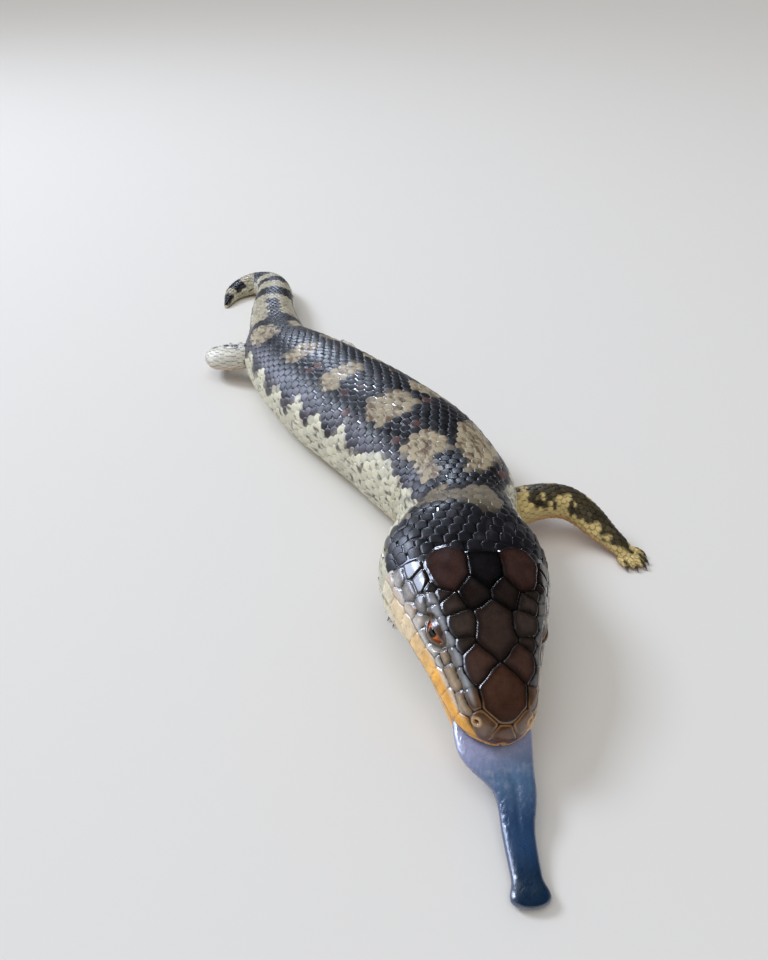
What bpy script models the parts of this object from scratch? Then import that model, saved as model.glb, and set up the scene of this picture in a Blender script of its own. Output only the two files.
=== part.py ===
"""A young blotched blue-tongued skink as a still, life-size model, resting on a floor at z = 0.

Metres, +Z up. Azimuth 0 looks along +Y and meets the face: the head points to -Y, the tail to +Y,
and the animal's left is +X at the head. The tables of sizes are in millimetres, turned by MM.
"""

import math

import bmesh
import bpy
import numpy as np
from mathutils import Matrix, Vector
from mathutils.bvhtree import BVHTree

# Driving sizes
MM = 0.001
GAP = 0.3 * MM  # Air between neighbouring pieces
HEAD_WIDTH = 22.0 * MM  # Across the jaw muscles, the model's scale
HEAD_LENGTH = 27.0 * MM  # From the snout's tip to the cut at the neck
PLAN_CENTRE = (-0.1 * MM, 114.3 * MM)  # Middle of the whole animal in the plan below

# The head's place: its origin lies on the mouth line near the snout's tip
SNOUT = (12.5 * MM, 51.2 * MM, 5.6 * MM)
HEAD_YAW = math.radians(6.4)
HEAD_PITCH = math.radians(9.5)
HEAD_ROLL = math.radians(8.5)

# The back's line in plan from the shoulders to the tail's tip, x and y in mm
SPINE = (
    (11.3, 87.3), (10.2, 95.0), (4.4, 106.3), (-1.6, 114.5), (-9.0, 124.0), (-16.2, 134.8), (-21.0, 143.7),
    (-23.2, 153.3), (-25.5, 166.0), (-26.6, 178.0), (-28.9, 187.0), (-33.4, 190.0), (-38.0, 186.2),
    (-39.4, 179.6),
)
# Sizes along the spine in mm: way from the shoulders, half width, height of the back, underside
BODY = (
    (0.0, 8.4, 15.2, 0.2), (8.0, 9.9, 14.6, -0.4), (20.0, 11.4, 15.2, -0.6), (31.0, 11.5, 15.4, -0.6),
    (43.0, 11.1, 15.2, -0.6), (56.0, 9.6, 14.0, -0.5), (66.0, 7.9, 12.2, -0.4), (75.6, 6.3, 10.2, -0.3),
    (88.0, 5.3, 8.9, -0.3), (100.0, 4.6, 7.8, -0.3), (110.0, 3.8, 6.4, -0.3), (116.3, 3.0, 5.1, -0.2),
    (121.5, 2.15, 3.8, -0.2), (125.8, 1.2, 2.3, -0.1), (128.4, 0.5, 1.1, -0.1),
)
SECTION = 12  # Places around a section: 0 at the top, down the left side and back up the right to 12
SPINE_SAMPLES = 1300  # Points at which the back's line is measured
SPINE_PROBE = 0.8 * MM  # Half the length over which its direction is taken
WIDEST_AT = 0.43  # Height of the widest line as a share of the back's
SQUARENESS = 2.3  # Exponent of the superellipse that a cross-section of the body is
NECK_LENGTH = 10.5 * MM  # From the head's cut to the body's first section
NECK_PROBE = 1.0 * MM  # Length over which the neck takes its directions from its neighbours
BODY_CUTS = (76.0, 95.0, 112.0, 128.4)  # Ends of the torso and of the tail's three lengths, mm
TAIL_POINT = (0.3, 0.4 * MM)  # The tip's reach as a share of the last step, and its least height

# Sizes along the head in mm from the snout: half width and height of each point of the half section
HEAD_KEYS = (0.0, 3.0, 8.0, 11.0, 15.5, 19.0, 22.5, 25.0, 27.0)
HEAD_TOP = (3.6, 5.0, 6.4, 7.2, 8.1, 8.5, 8.7, 8.6, 8.4)
CROWN_WIDE = (2.6, 3.2, 4.3, 5.4, 6.4, 7.0, 7.3, 7.1, 6.6)
CROWN_HIGH = (3.0, 4.3, 5.8, 6.5, 7.1, 7.3, 7.3, 7.1, 6.9)
CHEEK_WIDE = (3.4, 4.4, 6.2, 7.4, 8.9, 9.9, 10.4, 10.1, 9.4)
CHEEK_HIGH = (1.6, 2.3, 3.1, 3.5, 3.8, 3.9, 4.0, 4.0, 4.0)
LIP_WIDE = (3.6, 4.8, 6.7, 7.9, 9.5, 10.6, 11.0, 10.6, 9.8)
LIP_HIGH = (0.2, 0.2, 0.1, 0.0, -0.1, 0.0, 0.2, 0.4, 0.5)
JAW_WIDE = (3.0, 4.2, 6.0, 7.1, 8.6, 9.5, 9.9, 9.6, 8.8)
JAW_HIGH = (-1.3, -1.8, -2.4, -2.7, -3.0, -3.0, -2.9, -2.8, -2.6)
CHIN_WIDE = (1.6, 2.2, 3.2, 3.8, 4.6, 5.2, 5.4, 5.3, 5.0)
CHIN_HIGH = (-1.8, -2.6, -3.5, -4.0, -4.7, -5.0, -5.1, -5.0, -4.9)
CHIN_LOW = (-2.0, -2.9, -3.9, -4.4, -5.1, -5.5, -5.6, -5.5, -5.4)
SNOUT_ROUNDING = 3.4 * MM  # Length over which the sections close at the snout
SNOUT_MIDDLE = 0.9 * MM  # Height at which they close
NOSE_REACH = 0.8 * MM  # How far the tip is drawn out, and the way back over which that fades
NOSE_END = 9.0 * MM
HEAD_PROBE = 0.05  # Steps in mm and in places around, over which the skin's direction is taken

# Soft parts of the head, in the head's own frame
GAPE = math.radians(7.0)  # How far the lower jaw hangs open
JAW_HINGE = (19.5 * MM, 0.5 * MM)  # Way from the snout and height
JAW_INSET = 0.18  # Share by which the lower jaw's front is narrower than the upper's
JAW_INSET_SPAN = (11.0 * MM, 18.5 * MM)  # Way over which that fades
MOUTH_LINE = ((-3.0, 0.1), (6.0, -0.1), (12.0, 0.0), (16.0, 0.2), (19.0, 0.6))
JAW_ANGLE = (22.6, -8.0)  # Where the cut behind the jaw leaves the throat, mm
EYE_RADIUS = 1.75 * MM
EYE_PLACE = (10.7, 1.58)  # Way from the snout in mm, and place around the section
EYE_SINK = 1.68 * MM  # Depth of the eyeball's centre under the skin
LID_RING = (1.8 * MM, 0.95 * MM)  # Half length and half height of the lids' ridge
LID_THICK = 0.32 * MM
LID_CUTS = (20, 6)  # Points along the ridge and around it
EAR_PLACE = (24.2, 2.45)
EAR_CUP = (0.9 * MM, 0.8 * MM, 1.3 * MM)  # Depth, half length, half height
NOSTRIL_PLACE = (1.6, 1.45)
NOSTRIL_CUP = (0.42 * MM, 0.42 * MM, 0.42 * MM)
EYE_CUTS = (14, 10)  # Segments and rings of an eyeball, then of its socket and of a cup
SOCKET_CUTS = (16, 10)
CUP_CUTS = (12, 8)

# Tongue: way along it in the plan in mm (x, y, z), half width and half thickness
TONGUE_OUTSIDE = ((13.9, 47.0, 3.2), (13.9, 42.8, 1.8), (14.2, 38.6, 1.0), (14.4, 35.6, 0.95))
TONGUE_INSIDE = ((9.0, -0.75), (4.5, -0.9), (0.5, -1.15))  # Way from the snout and height in the head
TONGUE_WIDE = (3.6, 4.1, 4.4, 2.4, 1.75, 1.6, 3.0)
TONGUE_THICK = (0.9, 0.95, 0.95, 0.9, 0.9, 0.85, 1.0)
TONGUE_BLUNT = 2.1 * MM  # Length over which its tip closes in a quarter round
TONGUE_CLOSING = 0.25  # The same as a share of the last step between the points above

# Head shields: way from the snout in mm, place around the section, size in mm. Midline ones first:
# rostral, frontonasal, frontal, interparietal and nape
MIDDLE_SHIELDS = ((0.12, 0.0, 1.5), (3.3, 0.0, 2.5), (9.8, 0.0, 2.6), (17.1, 0.0, 1.7), (21.4, 0.0, 1.4))
SIDE_SHIELDS = (
    (1.2, 1.35, 1.5), (6.1, 0.55, 2.0), (14.1, 0.3, 1.7), (17.5, 0.66, 2.4),  # Nasal to parietal
    (8.1, 0.9, 1.5), (10.5, 0.7, 1.8), (12.9, 0.72, 1.5),  # Over the eye
    (7.4, 1.32, 1.0), (9.2, 1.2, 1.0), (11.2, 1.14, 1.0), (13.2, 1.15, 1.1),  # Brow
    (3.9, 1.75, 1.5), (6.0, 1.75, 1.3), (8.0, 1.85, 1.0),  # Between nostril and eye
    (14.4, 1.5, 1.4), (14.2, 2.0, 1.3), (16.7, 1.25, 1.7), (16.9, 1.8, 1.7),  # Temple
    (19.3, 1.55, 1.7), (19.4, 2.1, 1.6), (21.6, 1.4, 1.5), (21.8, 1.95, 1.5),
    (9.4, 2.15, 0.9), (11.3, 2.15, 0.9),  # Under the eye
    (2.0, 2.4, 1.3), (4.2, 2.5, 1.4), (6.5, 2.55, 1.4), (8.8, 2.6, 1.4), (11.2, 2.62, 1.4), (13.7, 2.6, 1.5),
    (16.3, 2.5, 1.5),  # Upper lip
    (1.8, 3.6, 1.3), (4.0, 3.5, 1.4), (6.4, 3.45, 1.4), (8.8, 3.42, 1.4), (11.3, 3.4, 1.4),
    (13.9, 3.4, 1.5),  # Lower lip
    (21.2, 0.55, 1.6), (23.8, 0.28, 1.5), (23.6, 0.85, 1.5),  # Nape
)
EYE_SPACE = 1.75  # Size of the place round each eye that no shield takes, mm
SEAM = 0.4 * MM  # Width of the groove between shields
SHIELD_CORNERS = 9
SHIELD_EDGE = 3.0 * MM  # Longest edge of a plate's outline
SHIELD_REACH = 1.45  # Greatest reach of a plate from its middle, as a share of its size
SHIELD_NEAR = 9.0 * MM  # Plates further off than this don't bound it
SHIELD_ROOT = 0.6 * MM
SHIELD_RAISE = 0.34 * MM
SHIELD_CROWN = 0.08 * MM
SHIELD_BEVEL = 0.22 * MM
SHIELD_LEAST = 0.6  # Most that the bevel takes of the way to the plate's middle
SHIELD_HEIGHT = 4.0 * MM  # Height from which a plate's corners are dropped on the skin

# Legs: joints from inside the body to the ankle in mm, half width and half height at each, and the
# foot: heading in degrees from +X, palm's length, half width, then each toe's angle and length
LEGS = (
    ("left", "fore", ((15.5, 90.5, 6.0), (27.8, 93.6, 5.7), (35.2, 88.2, 2.0)),
     ((3.2, 3.0), (2.8, 2.5), (1.7, 1.4)),
     (-46, 2.4, 1.75, ((-26, 1.9), (-12, 2.6), (0, 3.0), (11, 2.8), (27, 2.1)))),
    ("right", "fore", ((6.5, 92.5, 4.6), (3.0, 86.0, 2.6), (4.6, 77.0, 1.7)),
     ((2.7, 2.5), (2.3, 2.1), (1.5, 1.3)),
     (-130, 2.2, 1.8, ((-27, 2.1), (-11, 2.8), (0, 3.0), (12, 2.6), (26, 1.9)))),
    ("right", "hind", ((-20.5, 146.5, 5.2), (-34.3, 143.6, 4.8), (-33.2, 153.2, 1.9)),
     ((3.2, 3.0), (2.4, 2.3), (1.5, 1.4)),
     (105, 2.6, 1.8, ((-52, 3.4), (-24, 3.9), (2, 3.4), (28, 2.7), (58, 1.9)))),
    ("left", "hind", ((-19.5, 148.0, 5.2), (-8.6, 146.6, 4.6), (-10.8, 155.0, 1.9)),
     ((3.2, 3.0), (2.4, 2.3), (1.5, 1.4)),
     (75, 2.6, 1.8, ((-58, 1.9), (-28, 2.7), (-2, 3.4), (24, 3.9), (52, 3.4)))),
)
JOINT_GAP = 0.4 * MM
KNEE_ROUNDING = 0.9
LEG_PROBE = 0.001  # Step along a leg's line, counted in joints, over which its direction is taken
PALM_HIGH = (1.0, 0.8)  # Half height in mm of the palm's middle and of its knuckles
PALM_NARROW = 0.95  # Its middle's half width as a share of that at the knuckles
TOE_SPREAD = 0.75  # Place of the outer toes as a share of the palm's half width
TOE_ROOT = 0.5 * MM  # How far the toes start inside the palm, and twice that for the outer ones
TOE_HEIGHT = (0.85, 0.95, 0.6, 0.5, 0.15)  # Root, middle, tip, then the claw's middle and point, mm
TOE_HALF = ((0.68, 0.68), (0.6, 0.6), (0.55, 0.5), (0.28, 0.33), (0.12, 0.14))
CLAW = 0.65 * MM

# How finely the surfaces are cut
HEAD_SIDES = 30
HEAD_STEPS = 13
BODY_SIDES = 24
NECK_STEPS = 6
TORSO_STEPS = 30
TAIL_STEPS = 10
LEG_SIDES = 12
LEG_STEPS = 7
PALM_SIDES = 10
PALM_STEPS = 5
TOE_STEPS = 6
TOE_SIDES = 6
TONGUE_SIDES = 14
TONGUE_STEPS = 18
TONGUE_ENDS = 5
WELD = 1e-6  # Points nearer than this are one
SHARP = math.radians(35)  # Edges that bend more than this are drawn sharp

# Finishes: colour and roughness
DARK_SKIN = ((0.03, 0.022, 0.018), 0.3)
PALE_SKIN = ((0.62, 0.5, 0.24), 0.45)
BLUE_TONGUE = ((0.06, 0.12, 0.3), 0.2)
WET_EYE = ((0.5, 0.12, 0.03), 0.1)

PARTS = bpy.data.collections.new("skink")


def material(name, colour, roughness):
    """A plain Principled finish."""
    made = bpy.data.materials.new(name)
    made.use_nodes = True
    shader = made.node_tree.nodes["Principled BSDF"]
    shader.inputs["Base Color"].default_value = (*colour, 1.0)
    shader.inputs["Roughness"].default_value = roughness
    return made


def hermite(f, start, start_way, end, end_way):
    """The cubic from `start` to `end` with the given directions there, at the shares `f`."""
    return (
        (2 * f**3 - 3 * f**2 + 1) * start + (f**3 - 2 * f**2 + f) * start_way
        + (3 * f**2 - 2 * f**3) * end + (f**3 - f**2) * end_way
    )


def keyed(at, keys, values):
    """A smooth curve through the keys that never overshoots them."""
    at, keys, values = (np.asarray(each, float) for each in (at, keys, values))
    step = np.diff(keys)
    slope = np.diff(values) / step
    tangent = np.concatenate([slope[:1], np.zeros(len(keys) - 2), slope[-1:]])
    rising = slope[:-1] * slope[1:] > 0
    near, far = 2 * step[1:] + step[:-1], step[1:] + 2 * step[:-1]
    tangent[1:-1][rising] = ((near + far) / (near / np.where(rising, slope[:-1], 1) + far / np.where(
        rising, slope[1:], 1)))[rising]
    span = np.clip(np.searchsorted(keys, at, side="right") - 1, 0, len(step) - 1)
    share = (at - keys[span]) / step[span]
    return hermite(
        share, values[span], step[span] * tangent[span], values[span + 1], step[span] * tangent[span + 1]
    )


def spline(points, at):
    """Points on a smooth curve through `points`, where `at` counts the points from 0."""
    points = np.asarray(points, float)
    before = 2 * points[0] - points[1]
    after = 2 * points[-1] - points[-2]
    padded = np.vstack([before, points, after])
    span = np.clip(np.floor(at).astype(int), 0, len(points) - 2)
    f = (np.asarray(at, float) - span)[:, None]
    a, b, c, d = (padded[span + k] for k in range(4))
    return 0.5 * (2 * b + (c - a) * f + (2 * a - 5 * b + 4 * c - d) * f**2 + (3 * b - a - 3 * c + d) * f**3)


def smooth(at, low, high):
    """Eased step from 0 at `low` to 1 at `high`."""
    share = np.clip((np.asarray(at, float) - low) / (high - low), 0, 1)
    return share * share * (3 - 2 * share)


def rounded(at, length):
    """Share of full size along a blunt end: nothing at 0, all of it from `length` on."""
    return np.sqrt(1 - (1 - np.clip(np.asarray(at, float) / length, 0, 1)) ** 2)


def places_around(count):
    """Evenly spaced places around a section."""
    return np.linspace(0, SECTION, count, endpoint=False)


def head_rings(along, around, grow=0.0):
    """Points of the head in its own frame, one ring for each way `along` from the snout in metres.

    `around` counts the section's points: 0 top, 1 crown, 2 cheek, 3 lip, 4 jaw, 5 chin, 6 underside,
    then up the right side to 12. The section is a closed smooth curve through those points.
    """
    along = np.asarray(along, float)
    around = np.asarray(around, float)
    t = along / MM
    wide = [keyed(t, HEAD_KEYS, row) for row in (CROWN_WIDE, CHEEK_WIDE, LIP_WIDE, JAW_WIDE, CHIN_WIDE)]
    high = [keyed(t, HEAD_KEYS, row) for row in (CROWN_HIGH, CHEEK_HIGH, LIP_HIGH, JAW_HIGH, CHIN_HIGH)]
    nothing = np.zeros_like(t)
    x = np.stack([nothing, *wide, nothing, *(-each for each in reversed(wide))], 1) * MM
    top, low = keyed(t, HEAD_KEYS, HEAD_TOP), keyed(t, HEAD_KEYS, CHIN_LOW)
    z = np.stack([top, *high, low, *reversed(high)], 1) * MM
    share = rounded(along, SNOUT_ROUNDING)[:, None]
    x = x * share
    z = SNOUT_MIDDLE + (z - SNOUT_MIDDLE) * share
    span = np.floor(around).astype(int)
    f = around - span
    weights = (
        0.5 * (-f + 2 * f**2 - f**3), 0.5 * (2 - 5 * f**2 + 3 * f**3),
        0.5 * (f + 4 * f**2 - 3 * f**3), 0.5 * (f**3 - f**2),
    )
    x, z = (sum(w * row[:, (span + k - 1) % SECTION] for k, w in enumerate(weights)) for row in (x, z))
    y = along - NOSE_REACH * (1 - smooth(along, 0, NOSE_END))
    rings = np.stack([x, np.broadcast_to(y[:, None], x.shape), z], 2)
    if grow:
        middle = rings.mean(1, keepdims=True)
        out = rings - middle
        rings = rings + grow * out / np.maximum(np.linalg.norm(out, axis=2, keepdims=True), 1e-9)
    return rings


def head_matrix():
    """The head's frame in the world: x to the animal's left, y back from the snout, z up."""
    place = Vector((SNOUT[0] - PLAN_CENTRE[0], SNOUT[1] - PLAN_CENTRE[1], SNOUT[2]))
    turn = Matrix.Rotation(HEAD_YAW, 4, "Z") @ Matrix.Rotation(HEAD_PITCH, 4, "X")
    return Matrix.Translation(place) @ turn @ Matrix.Rotation(HEAD_ROLL, 4, "Y")


def to_world(points):
    """Points of the head's frame in the world's frame."""
    turn = np.array(head_matrix())
    return points @ turn[:3, :3].T + turn[:3, 3]


def spine_at(along):
    """Centre and unit direction in plan at each way along the spine in metres."""
    count = np.linspace(0, len(SPINE) - 1, SPINE_SAMPLES)
    line = (spline(SPINE, count) * MM) - np.array(PLAN_CENTRE)
    way = np.concatenate([[0], np.cumsum(np.linalg.norm(np.diff(line, axis=0), axis=1))])
    centre = np.stack([np.interp(along, way, line[:, k]) for k in (0, 1)], 1)
    inside = np.clip(along, SPINE_PROBE, way[-1] - SPINE_PROBE)
    ahead, behind = (
        np.stack([np.interp(inside + each, way, line[:, k]) for k in (0, 1)], 1)
        for each in (SPINE_PROBE, -SPINE_PROBE)
    )
    back = ahead - behind
    return centre, back / np.linalg.norm(back, axis=1, keepdims=True)


def body_rings(along, around, grow=0.0):
    """Points of the body in the world, one ring for each way `along` the spine in metres.

    A section is a superellipse, wider low down, whose underside is flat where it meets the floor.
    """
    along = np.asarray(along, float)
    centre, back = spine_at(along)
    left = np.stack([back[:, 1], -back[:, 0]], 1)
    way, half, top, low = np.array(BODY).T
    half, top, low = (keyed(along / MM, way, row)[:, None] * MM for row in (half, top, low))
    widest = WIDEST_AT * top
    half, top, low = half + grow, top + grow, low - grow
    angle = np.asarray(around, float)[None, :] * 2 * math.pi / SECTION
    power = 2 / SQUARENESS
    across = np.sin(angle)
    upright = np.cos(angle)
    x = half * np.sign(across) * np.abs(across) ** power
    reach = np.where(upright > 0, top - widest, widest - low)
    z = widest + reach * np.sign(upright) * np.abs(upright) ** power
    plan = centre[:, None, :] + x[..., None] * left[:, None, :]
    z = np.broadcast_to(z, x.shape)
    return np.concatenate([plan, z[..., None]], 2)


def neck_rings(share, around, grow=0.0):
    """Rings from the head's last section (share 0) to the body's first (share 1), smooth into both."""
    share = np.asarray(share, float)[:, None, None]
    head = to_world(head_rings([HEAD_LENGTH - NECK_PROBE, HEAD_LENGTH], around, grow))
    body = body_rings([0, NECK_PROBE], around, grow)
    reach = NECK_LENGTH / NECK_PROBE
    return hermite(share, head[1], (head[1] - head[0]) * reach, body[0], (body[1] - body[0]) * reach)


def bent(joints, at):
    """Points on a leg's line, which rounds its knee or elbow instead of breaking there."""
    root, knee, ankle = joints
    upper, lower = knee - root, ankle - knee
    through = upper / np.linalg.norm(upper) + lower / np.linalg.norm(lower)
    through /= np.linalg.norm(through)
    first = np.asarray(at, float)[:, None] < 1
    f = np.asarray(at, float)[:, None] - np.where(first, 0, 1)
    reach = KNEE_ROUNDING * np.where(first, np.linalg.norm(upper), np.linalg.norm(lower))
    start, end = np.where(first, root, knee), np.where(first, knee, ankle)
    start_way = np.where(first, upper, through * reach)
    end_way = np.where(first, through * reach, lower)
    return hermite(f, start, start_way, end, end_way)


def tube_rings(line, size, sides, grow=0.0, way=None):
    """Rings along a line of points; `size` gives the half width and half height at each point."""
    line, size = np.asarray(line, float), np.asarray(size, float) + grow
    way = np.gradient(line, axis=0) if way is None else way
    way /= np.linalg.norm(way, axis=1, keepdims=True)
    side = np.cross(way, (0, 0, 1.0))
    side /= np.linalg.norm(side, axis=1, keepdims=True)
    up = np.cross(side, way)
    angle = np.arange(sides) * 2 * math.pi / sides
    return (
        line[:, None] + np.cos(angle)[None, :, None] * (size[:, :1] * side)[:, None]
        + np.sin(angle)[None, :, None] * (size[:, 1:] * up)[:, None]
    )


def loft(name, rings, floor=True, start=None, end=None):
    """A closed mesh through rings of equal count, with flat ends, or points where they are given."""
    rings = np.array(rings)
    if floor:
        rings[..., 2] = np.maximum(rings[..., 2], 0.0)
    count, sides, _ = rings.shape
    points = [tuple(p) for p in rings.reshape(-1, 3)]
    faces = []
    for ring in range(count - 1):
        for k in range(sides):
            n = (k + 1) % sides
            faces.append((ring * sides + k, ring * sides + n, (ring + 1) * sides + n, (ring + 1) * sides + k))
    for tip, base, order in ((start, 0, -1), (end, (count - 1) * sides, 1)):
        ring = [base + k for k in range(sides)][::order]
        if tip is None:
            faces.append(tuple(ring))
            continue
        points.append(tuple(tip))
        for k in range(sides):
            faces.append((ring[k], ring[(k + 1) % sides], len(points) - 1))
    mesh = bpy.data.meshes.new(name)
    mesh.from_pydata(points, [], faces)
    mesh.update()
    made = bpy.data.objects.new(name, mesh)
    PARTS.objects.link(made)
    outward(made)
    return made


def outward(obj):
    """Turns every face of a closed mesh outwards."""
    work = bmesh.new()
    work.from_mesh(obj.data)
    bmesh.ops.recalc_face_normals(work, faces=work.faces)
    if work.calc_volume(signed=True) < 0:
        bmesh.ops.reverse_faces(work, faces=work.faces)
    work.to_mesh(obj.data)
    work.free()


def bake(obj):
    """Applies an object's modifiers to its mesh."""
    graph = bpy.context.evaluated_depsgraph_get()
    mesh = bpy.data.meshes.new_from_object(obj.evaluated_get(graph))
    obj.modifiers.clear()
    obj.data = mesh


def boolean(obj, operation, tool):
    """Cuts, joins or crosses a mesh with another one or with a collection of them, and drops the tool.

    The MANIFOLD solver keeps the joins of many small plates closed, where EXACT leaves slivers.
    """
    modifier = obj.modifiers.new(operation.lower(), "BOOLEAN")
    modifier.operation = operation
    modifier.solver = "MANIFOLD"
    if isinstance(tool, bpy.types.Collection):
        modifier.operand_type = "COLLECTION"
        modifier.collection = tool
    else:
        modifier.object = tool
    bake(obj)
    if isinstance(tool, bpy.types.Collection):
        for each in list(tool.objects):
            bpy.data.objects.remove(each)
        bpy.data.collections.remove(tool)
    else:
        bpy.data.objects.remove(tool)


def connected(work):
    """The separate surfaces of a mesh, each as a list of its points."""
    left = set(work.verts)
    groups = []
    while left:
        group, front = [], [left.pop()]
        while front:
            vert = front.pop()
            group.append(vert)
            for edge in vert.link_edges:
                other = edge.other_vert(vert)
                if other in left:
                    left.remove(other)
                    front.append(other)
        groups.append(group)
    return groups


def box_volume(points):
    """Volume of the upright box round some points of a mesh."""
    places = np.array([vert.co for vert in points])
    return float(np.prod(places.max(0) - places.min(0)))


def keep_largest(obj):
    """Welds slivers and keeps only the largest closed surface of a mesh."""
    work = bmesh.new()
    work.from_mesh(obj.data)
    bmesh.ops.remove_doubles(work, verts=work.verts, dist=WELD)
    bmesh.ops.dissolve_degenerate(work, edges=work.edges, dist=WELD)
    bmesh.ops.triangulate(work, faces=work.faces)
    groups = sorted(connected(work), key=box_volume)
    scraps = [vert for group in groups[:-1] for vert in group]
    bmesh.ops.delete(work, geom=scraps, context="VERTS")
    work.to_mesh(obj.data)
    work.free()


def ball(name, centre, radii, cuts, turn=None):
    """A closed ellipsoid, used as an eyeball or a cutter; `cuts` counts its segments and rings."""
    mesh = bpy.data.meshes.new(name)
    work = bmesh.new()
    bmesh.ops.create_uvsphere(work, u_segments=cuts[0], v_segments=cuts[1], radius=1.0)
    scale = Matrix.Diagonal((*radii, 1.0))
    place = Matrix.Translation(centre) @ (turn.to_4x4() if turn else Matrix()) @ scale
    bmesh.ops.transform(work, matrix=place, verts=work.verts)
    work.to_mesh(mesh)
    work.free()
    made = bpy.data.objects.new(name, mesh)
    PARTS.objects.link(made)
    return made


def on_head(way, around):
    """A point on the head's skin and its outward direction, in the head's frame; `way` is in mm."""
    near, far = (
        head_rings([(way + d) * MM], [around, around + HEAD_PROBE])[0] for d in (-HEAD_PROBE, HEAD_PROBE)
    )
    point = head_rings([way * MM], [around])[0, 0]
    normal = np.cross(near[1] - near[0], far[0] - near[0])
    normal /= np.linalg.norm(normal)
    middle = head_rings([way * MM], np.arange(SECTION))[0].mean(0)
    return point, normal if normal @ (point - middle) > 0 else -normal


def shield_seeds():
    """Middle, outward direction and size of every head shield, both sides, in the head's frame."""
    seeds = [(*on_head(way, around), size) for way, around, size in MIDDLE_SHIELDS]
    for way, around, size in SIDE_SHIELDS:
        for turned in (around, SECTION - around):
            seeds.append((*on_head(way, turned), size))
    return seeds


def eye_spaces():
    """The places round the eyes, which bound the shields but hold none."""
    way, around = EYE_PLACE
    return [(*on_head(way, turned), EYE_SPACE) for turned in (around, SECTION - around)]


def clipped(polygon, normal, limit):
    """The part of a flat convex polygon where point . normal is at most `limit`."""
    kept = []
    for k, point in enumerate(polygon):
        other = polygon[(k + 1) % len(polygon)]
        here, there = point @ normal - limit, other @ normal - limit
        if here <= 0:
            kept.append(point)
        if here * there < 0:
            kept.append(point + (other - point) * here / (here - there))
    return kept


def shield_outline(seed, seeds):
    """A shield's edge in a plane at its middle, halfway to each neighbour by their sizes, less the seam."""
    point, normal, size = seed
    first = np.cross(normal, (0.0, 1.0, 0.3))
    first /= np.linalg.norm(first)
    second = np.cross(normal, first)
    turns = [2 * math.pi * k / SHIELD_CORNERS for k in range(SHIELD_CORNERS)]
    polygon = [SHIELD_REACH * size * MM * np.array((math.cos(a), math.sin(a))) for a in turns]
    for other, _, other_size in seeds:
        apart = other - point
        distance = np.linalg.norm(apart)
        if 0 < distance < SHIELD_NEAR:
            flat = np.array((apart @ first, apart @ second))
            border = (distance**2 + (size**2 - other_size**2) * MM**2) / 2
            polygon = clipped(polygon, flat, border - SEAM / 2 * distance)
    fine = []
    for k, corner in enumerate(polygon):
        after = polygon[(k + 1) % len(polygon)]
        pieces = max(1, math.ceil(np.linalg.norm(after - corner) / SHIELD_EDGE))
        fine += [corner + (after - corner) * n / pieces for n in range(pieces)]
    return [point + a * first + b * second for a, b in fine]


def shield(seed, seeds, skin):
    """One raised plate with its root under the skin, sloping sides and a low crown."""
    point, normal, _ = seed
    outline = shield_outline(seed, seeds)
    rings = []
    for inset, height in ((0, -SHIELD_ROOT), (SHIELD_BEVEL, SHIELD_RAISE)):
        ring = []
        for corner in outline:
            inward = point - corner
            spot = corner + inward * min(SHIELD_LEAST, inset / max(np.linalg.norm(inward), WELD))
            hit, out, _, _ = skin.ray_cast(Vector(spot + normal * SHIELD_HEIGHT), Vector(-normal))
            if hit is None:
                return None
            ring.append(np.array(hit) + np.array(out) * height)
        rings.append(ring)
    top = point + normal * (SHIELD_RAISE + SHIELD_CROWN)
    return loft("shield", rings, floor=False, start=point - normal * SHIELD_ROOT, end=top)


def whole_head():
    """The head with its shields, before the mouth is cut, in the head's own frame."""
    closing = SNOUT_ROUNDING * (1 - np.cos(np.linspace(0, math.pi / 2, 6)[1:]))
    along = np.concatenate([closing, np.linspace(SNOUT_ROUNDING, HEAD_LENGTH, HEAD_STEPS)[1:]])
    around = places_around(HEAD_SIDES)
    head = loft("head", head_rings(along, around), floor=False, start=(0, -NOSE_REACH, SNOUT_MIDDLE))
    skin = BVHTree.FromPolygons(
        [v.co.copy() for v in head.data.vertices], [tuple(p.vertices) for p in head.data.polygons]
    )
    seeds = shield_seeds()
    places = seeds + eye_spaces()
    plates = bpy.data.collections.new("plates")
    for seed in seeds:
        plate = shield(seed, places, skin)
        if plate:
            PARTS.objects.unlink(plate)
            plates.objects.link(plate)
    bpy.context.scene.collection.children.link(plates)
    boolean(head, "UNION", plates)
    return head


def prism(name, outline, half_width):
    """A flat outline in the head's y and z, in mm, drawn out to both sides."""
    work = bmesh.new()
    flat = [work.verts.new((-half_width, y * MM, z * MM)) for y, z in outline]
    face = work.faces.new(flat)
    drawn = bmesh.ops.extrude_face_region(work, geom=[face])
    moved = [v for v in drawn["geom"] if isinstance(v, bmesh.types.BMVert)]
    bmesh.ops.translate(work, verts=moved, vec=(2 * half_width, 0, 0))
    mesh = bpy.data.meshes.new(name)
    work.to_mesh(mesh)
    work.free()
    made = bpy.data.objects.new(name, mesh)
    PARTS.objects.link(made)
    outward(made)
    return made


def jaw_block(gap):
    """The space of the lower jaw: under the mouth line and before the jaw's angle."""
    line = [(y, z + gap / MM) for y, z in MOUTH_LINE[:-1]]
    corner = (MOUTH_LINE[-1][0] + gap / MM, MOUTH_LINE[-1][1] + gap / MM)
    angle = (JAW_ANGLE[0] + gap / MM, JAW_ANGLE[1])
    return prism("jaw_block", (*line, corner, angle, (MOUTH_LINE[0][0], JAW_ANGLE[1])), HEAD_WIDTH)


def opened():
    """The turn of the lower jaw about its hinge."""
    hinge = Vector((0, *JAW_HINGE))
    return Matrix.Translation(hinge) @ Matrix.Rotation(GAPE, 4, "X") @ Matrix.Translation(-hinge)


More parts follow.
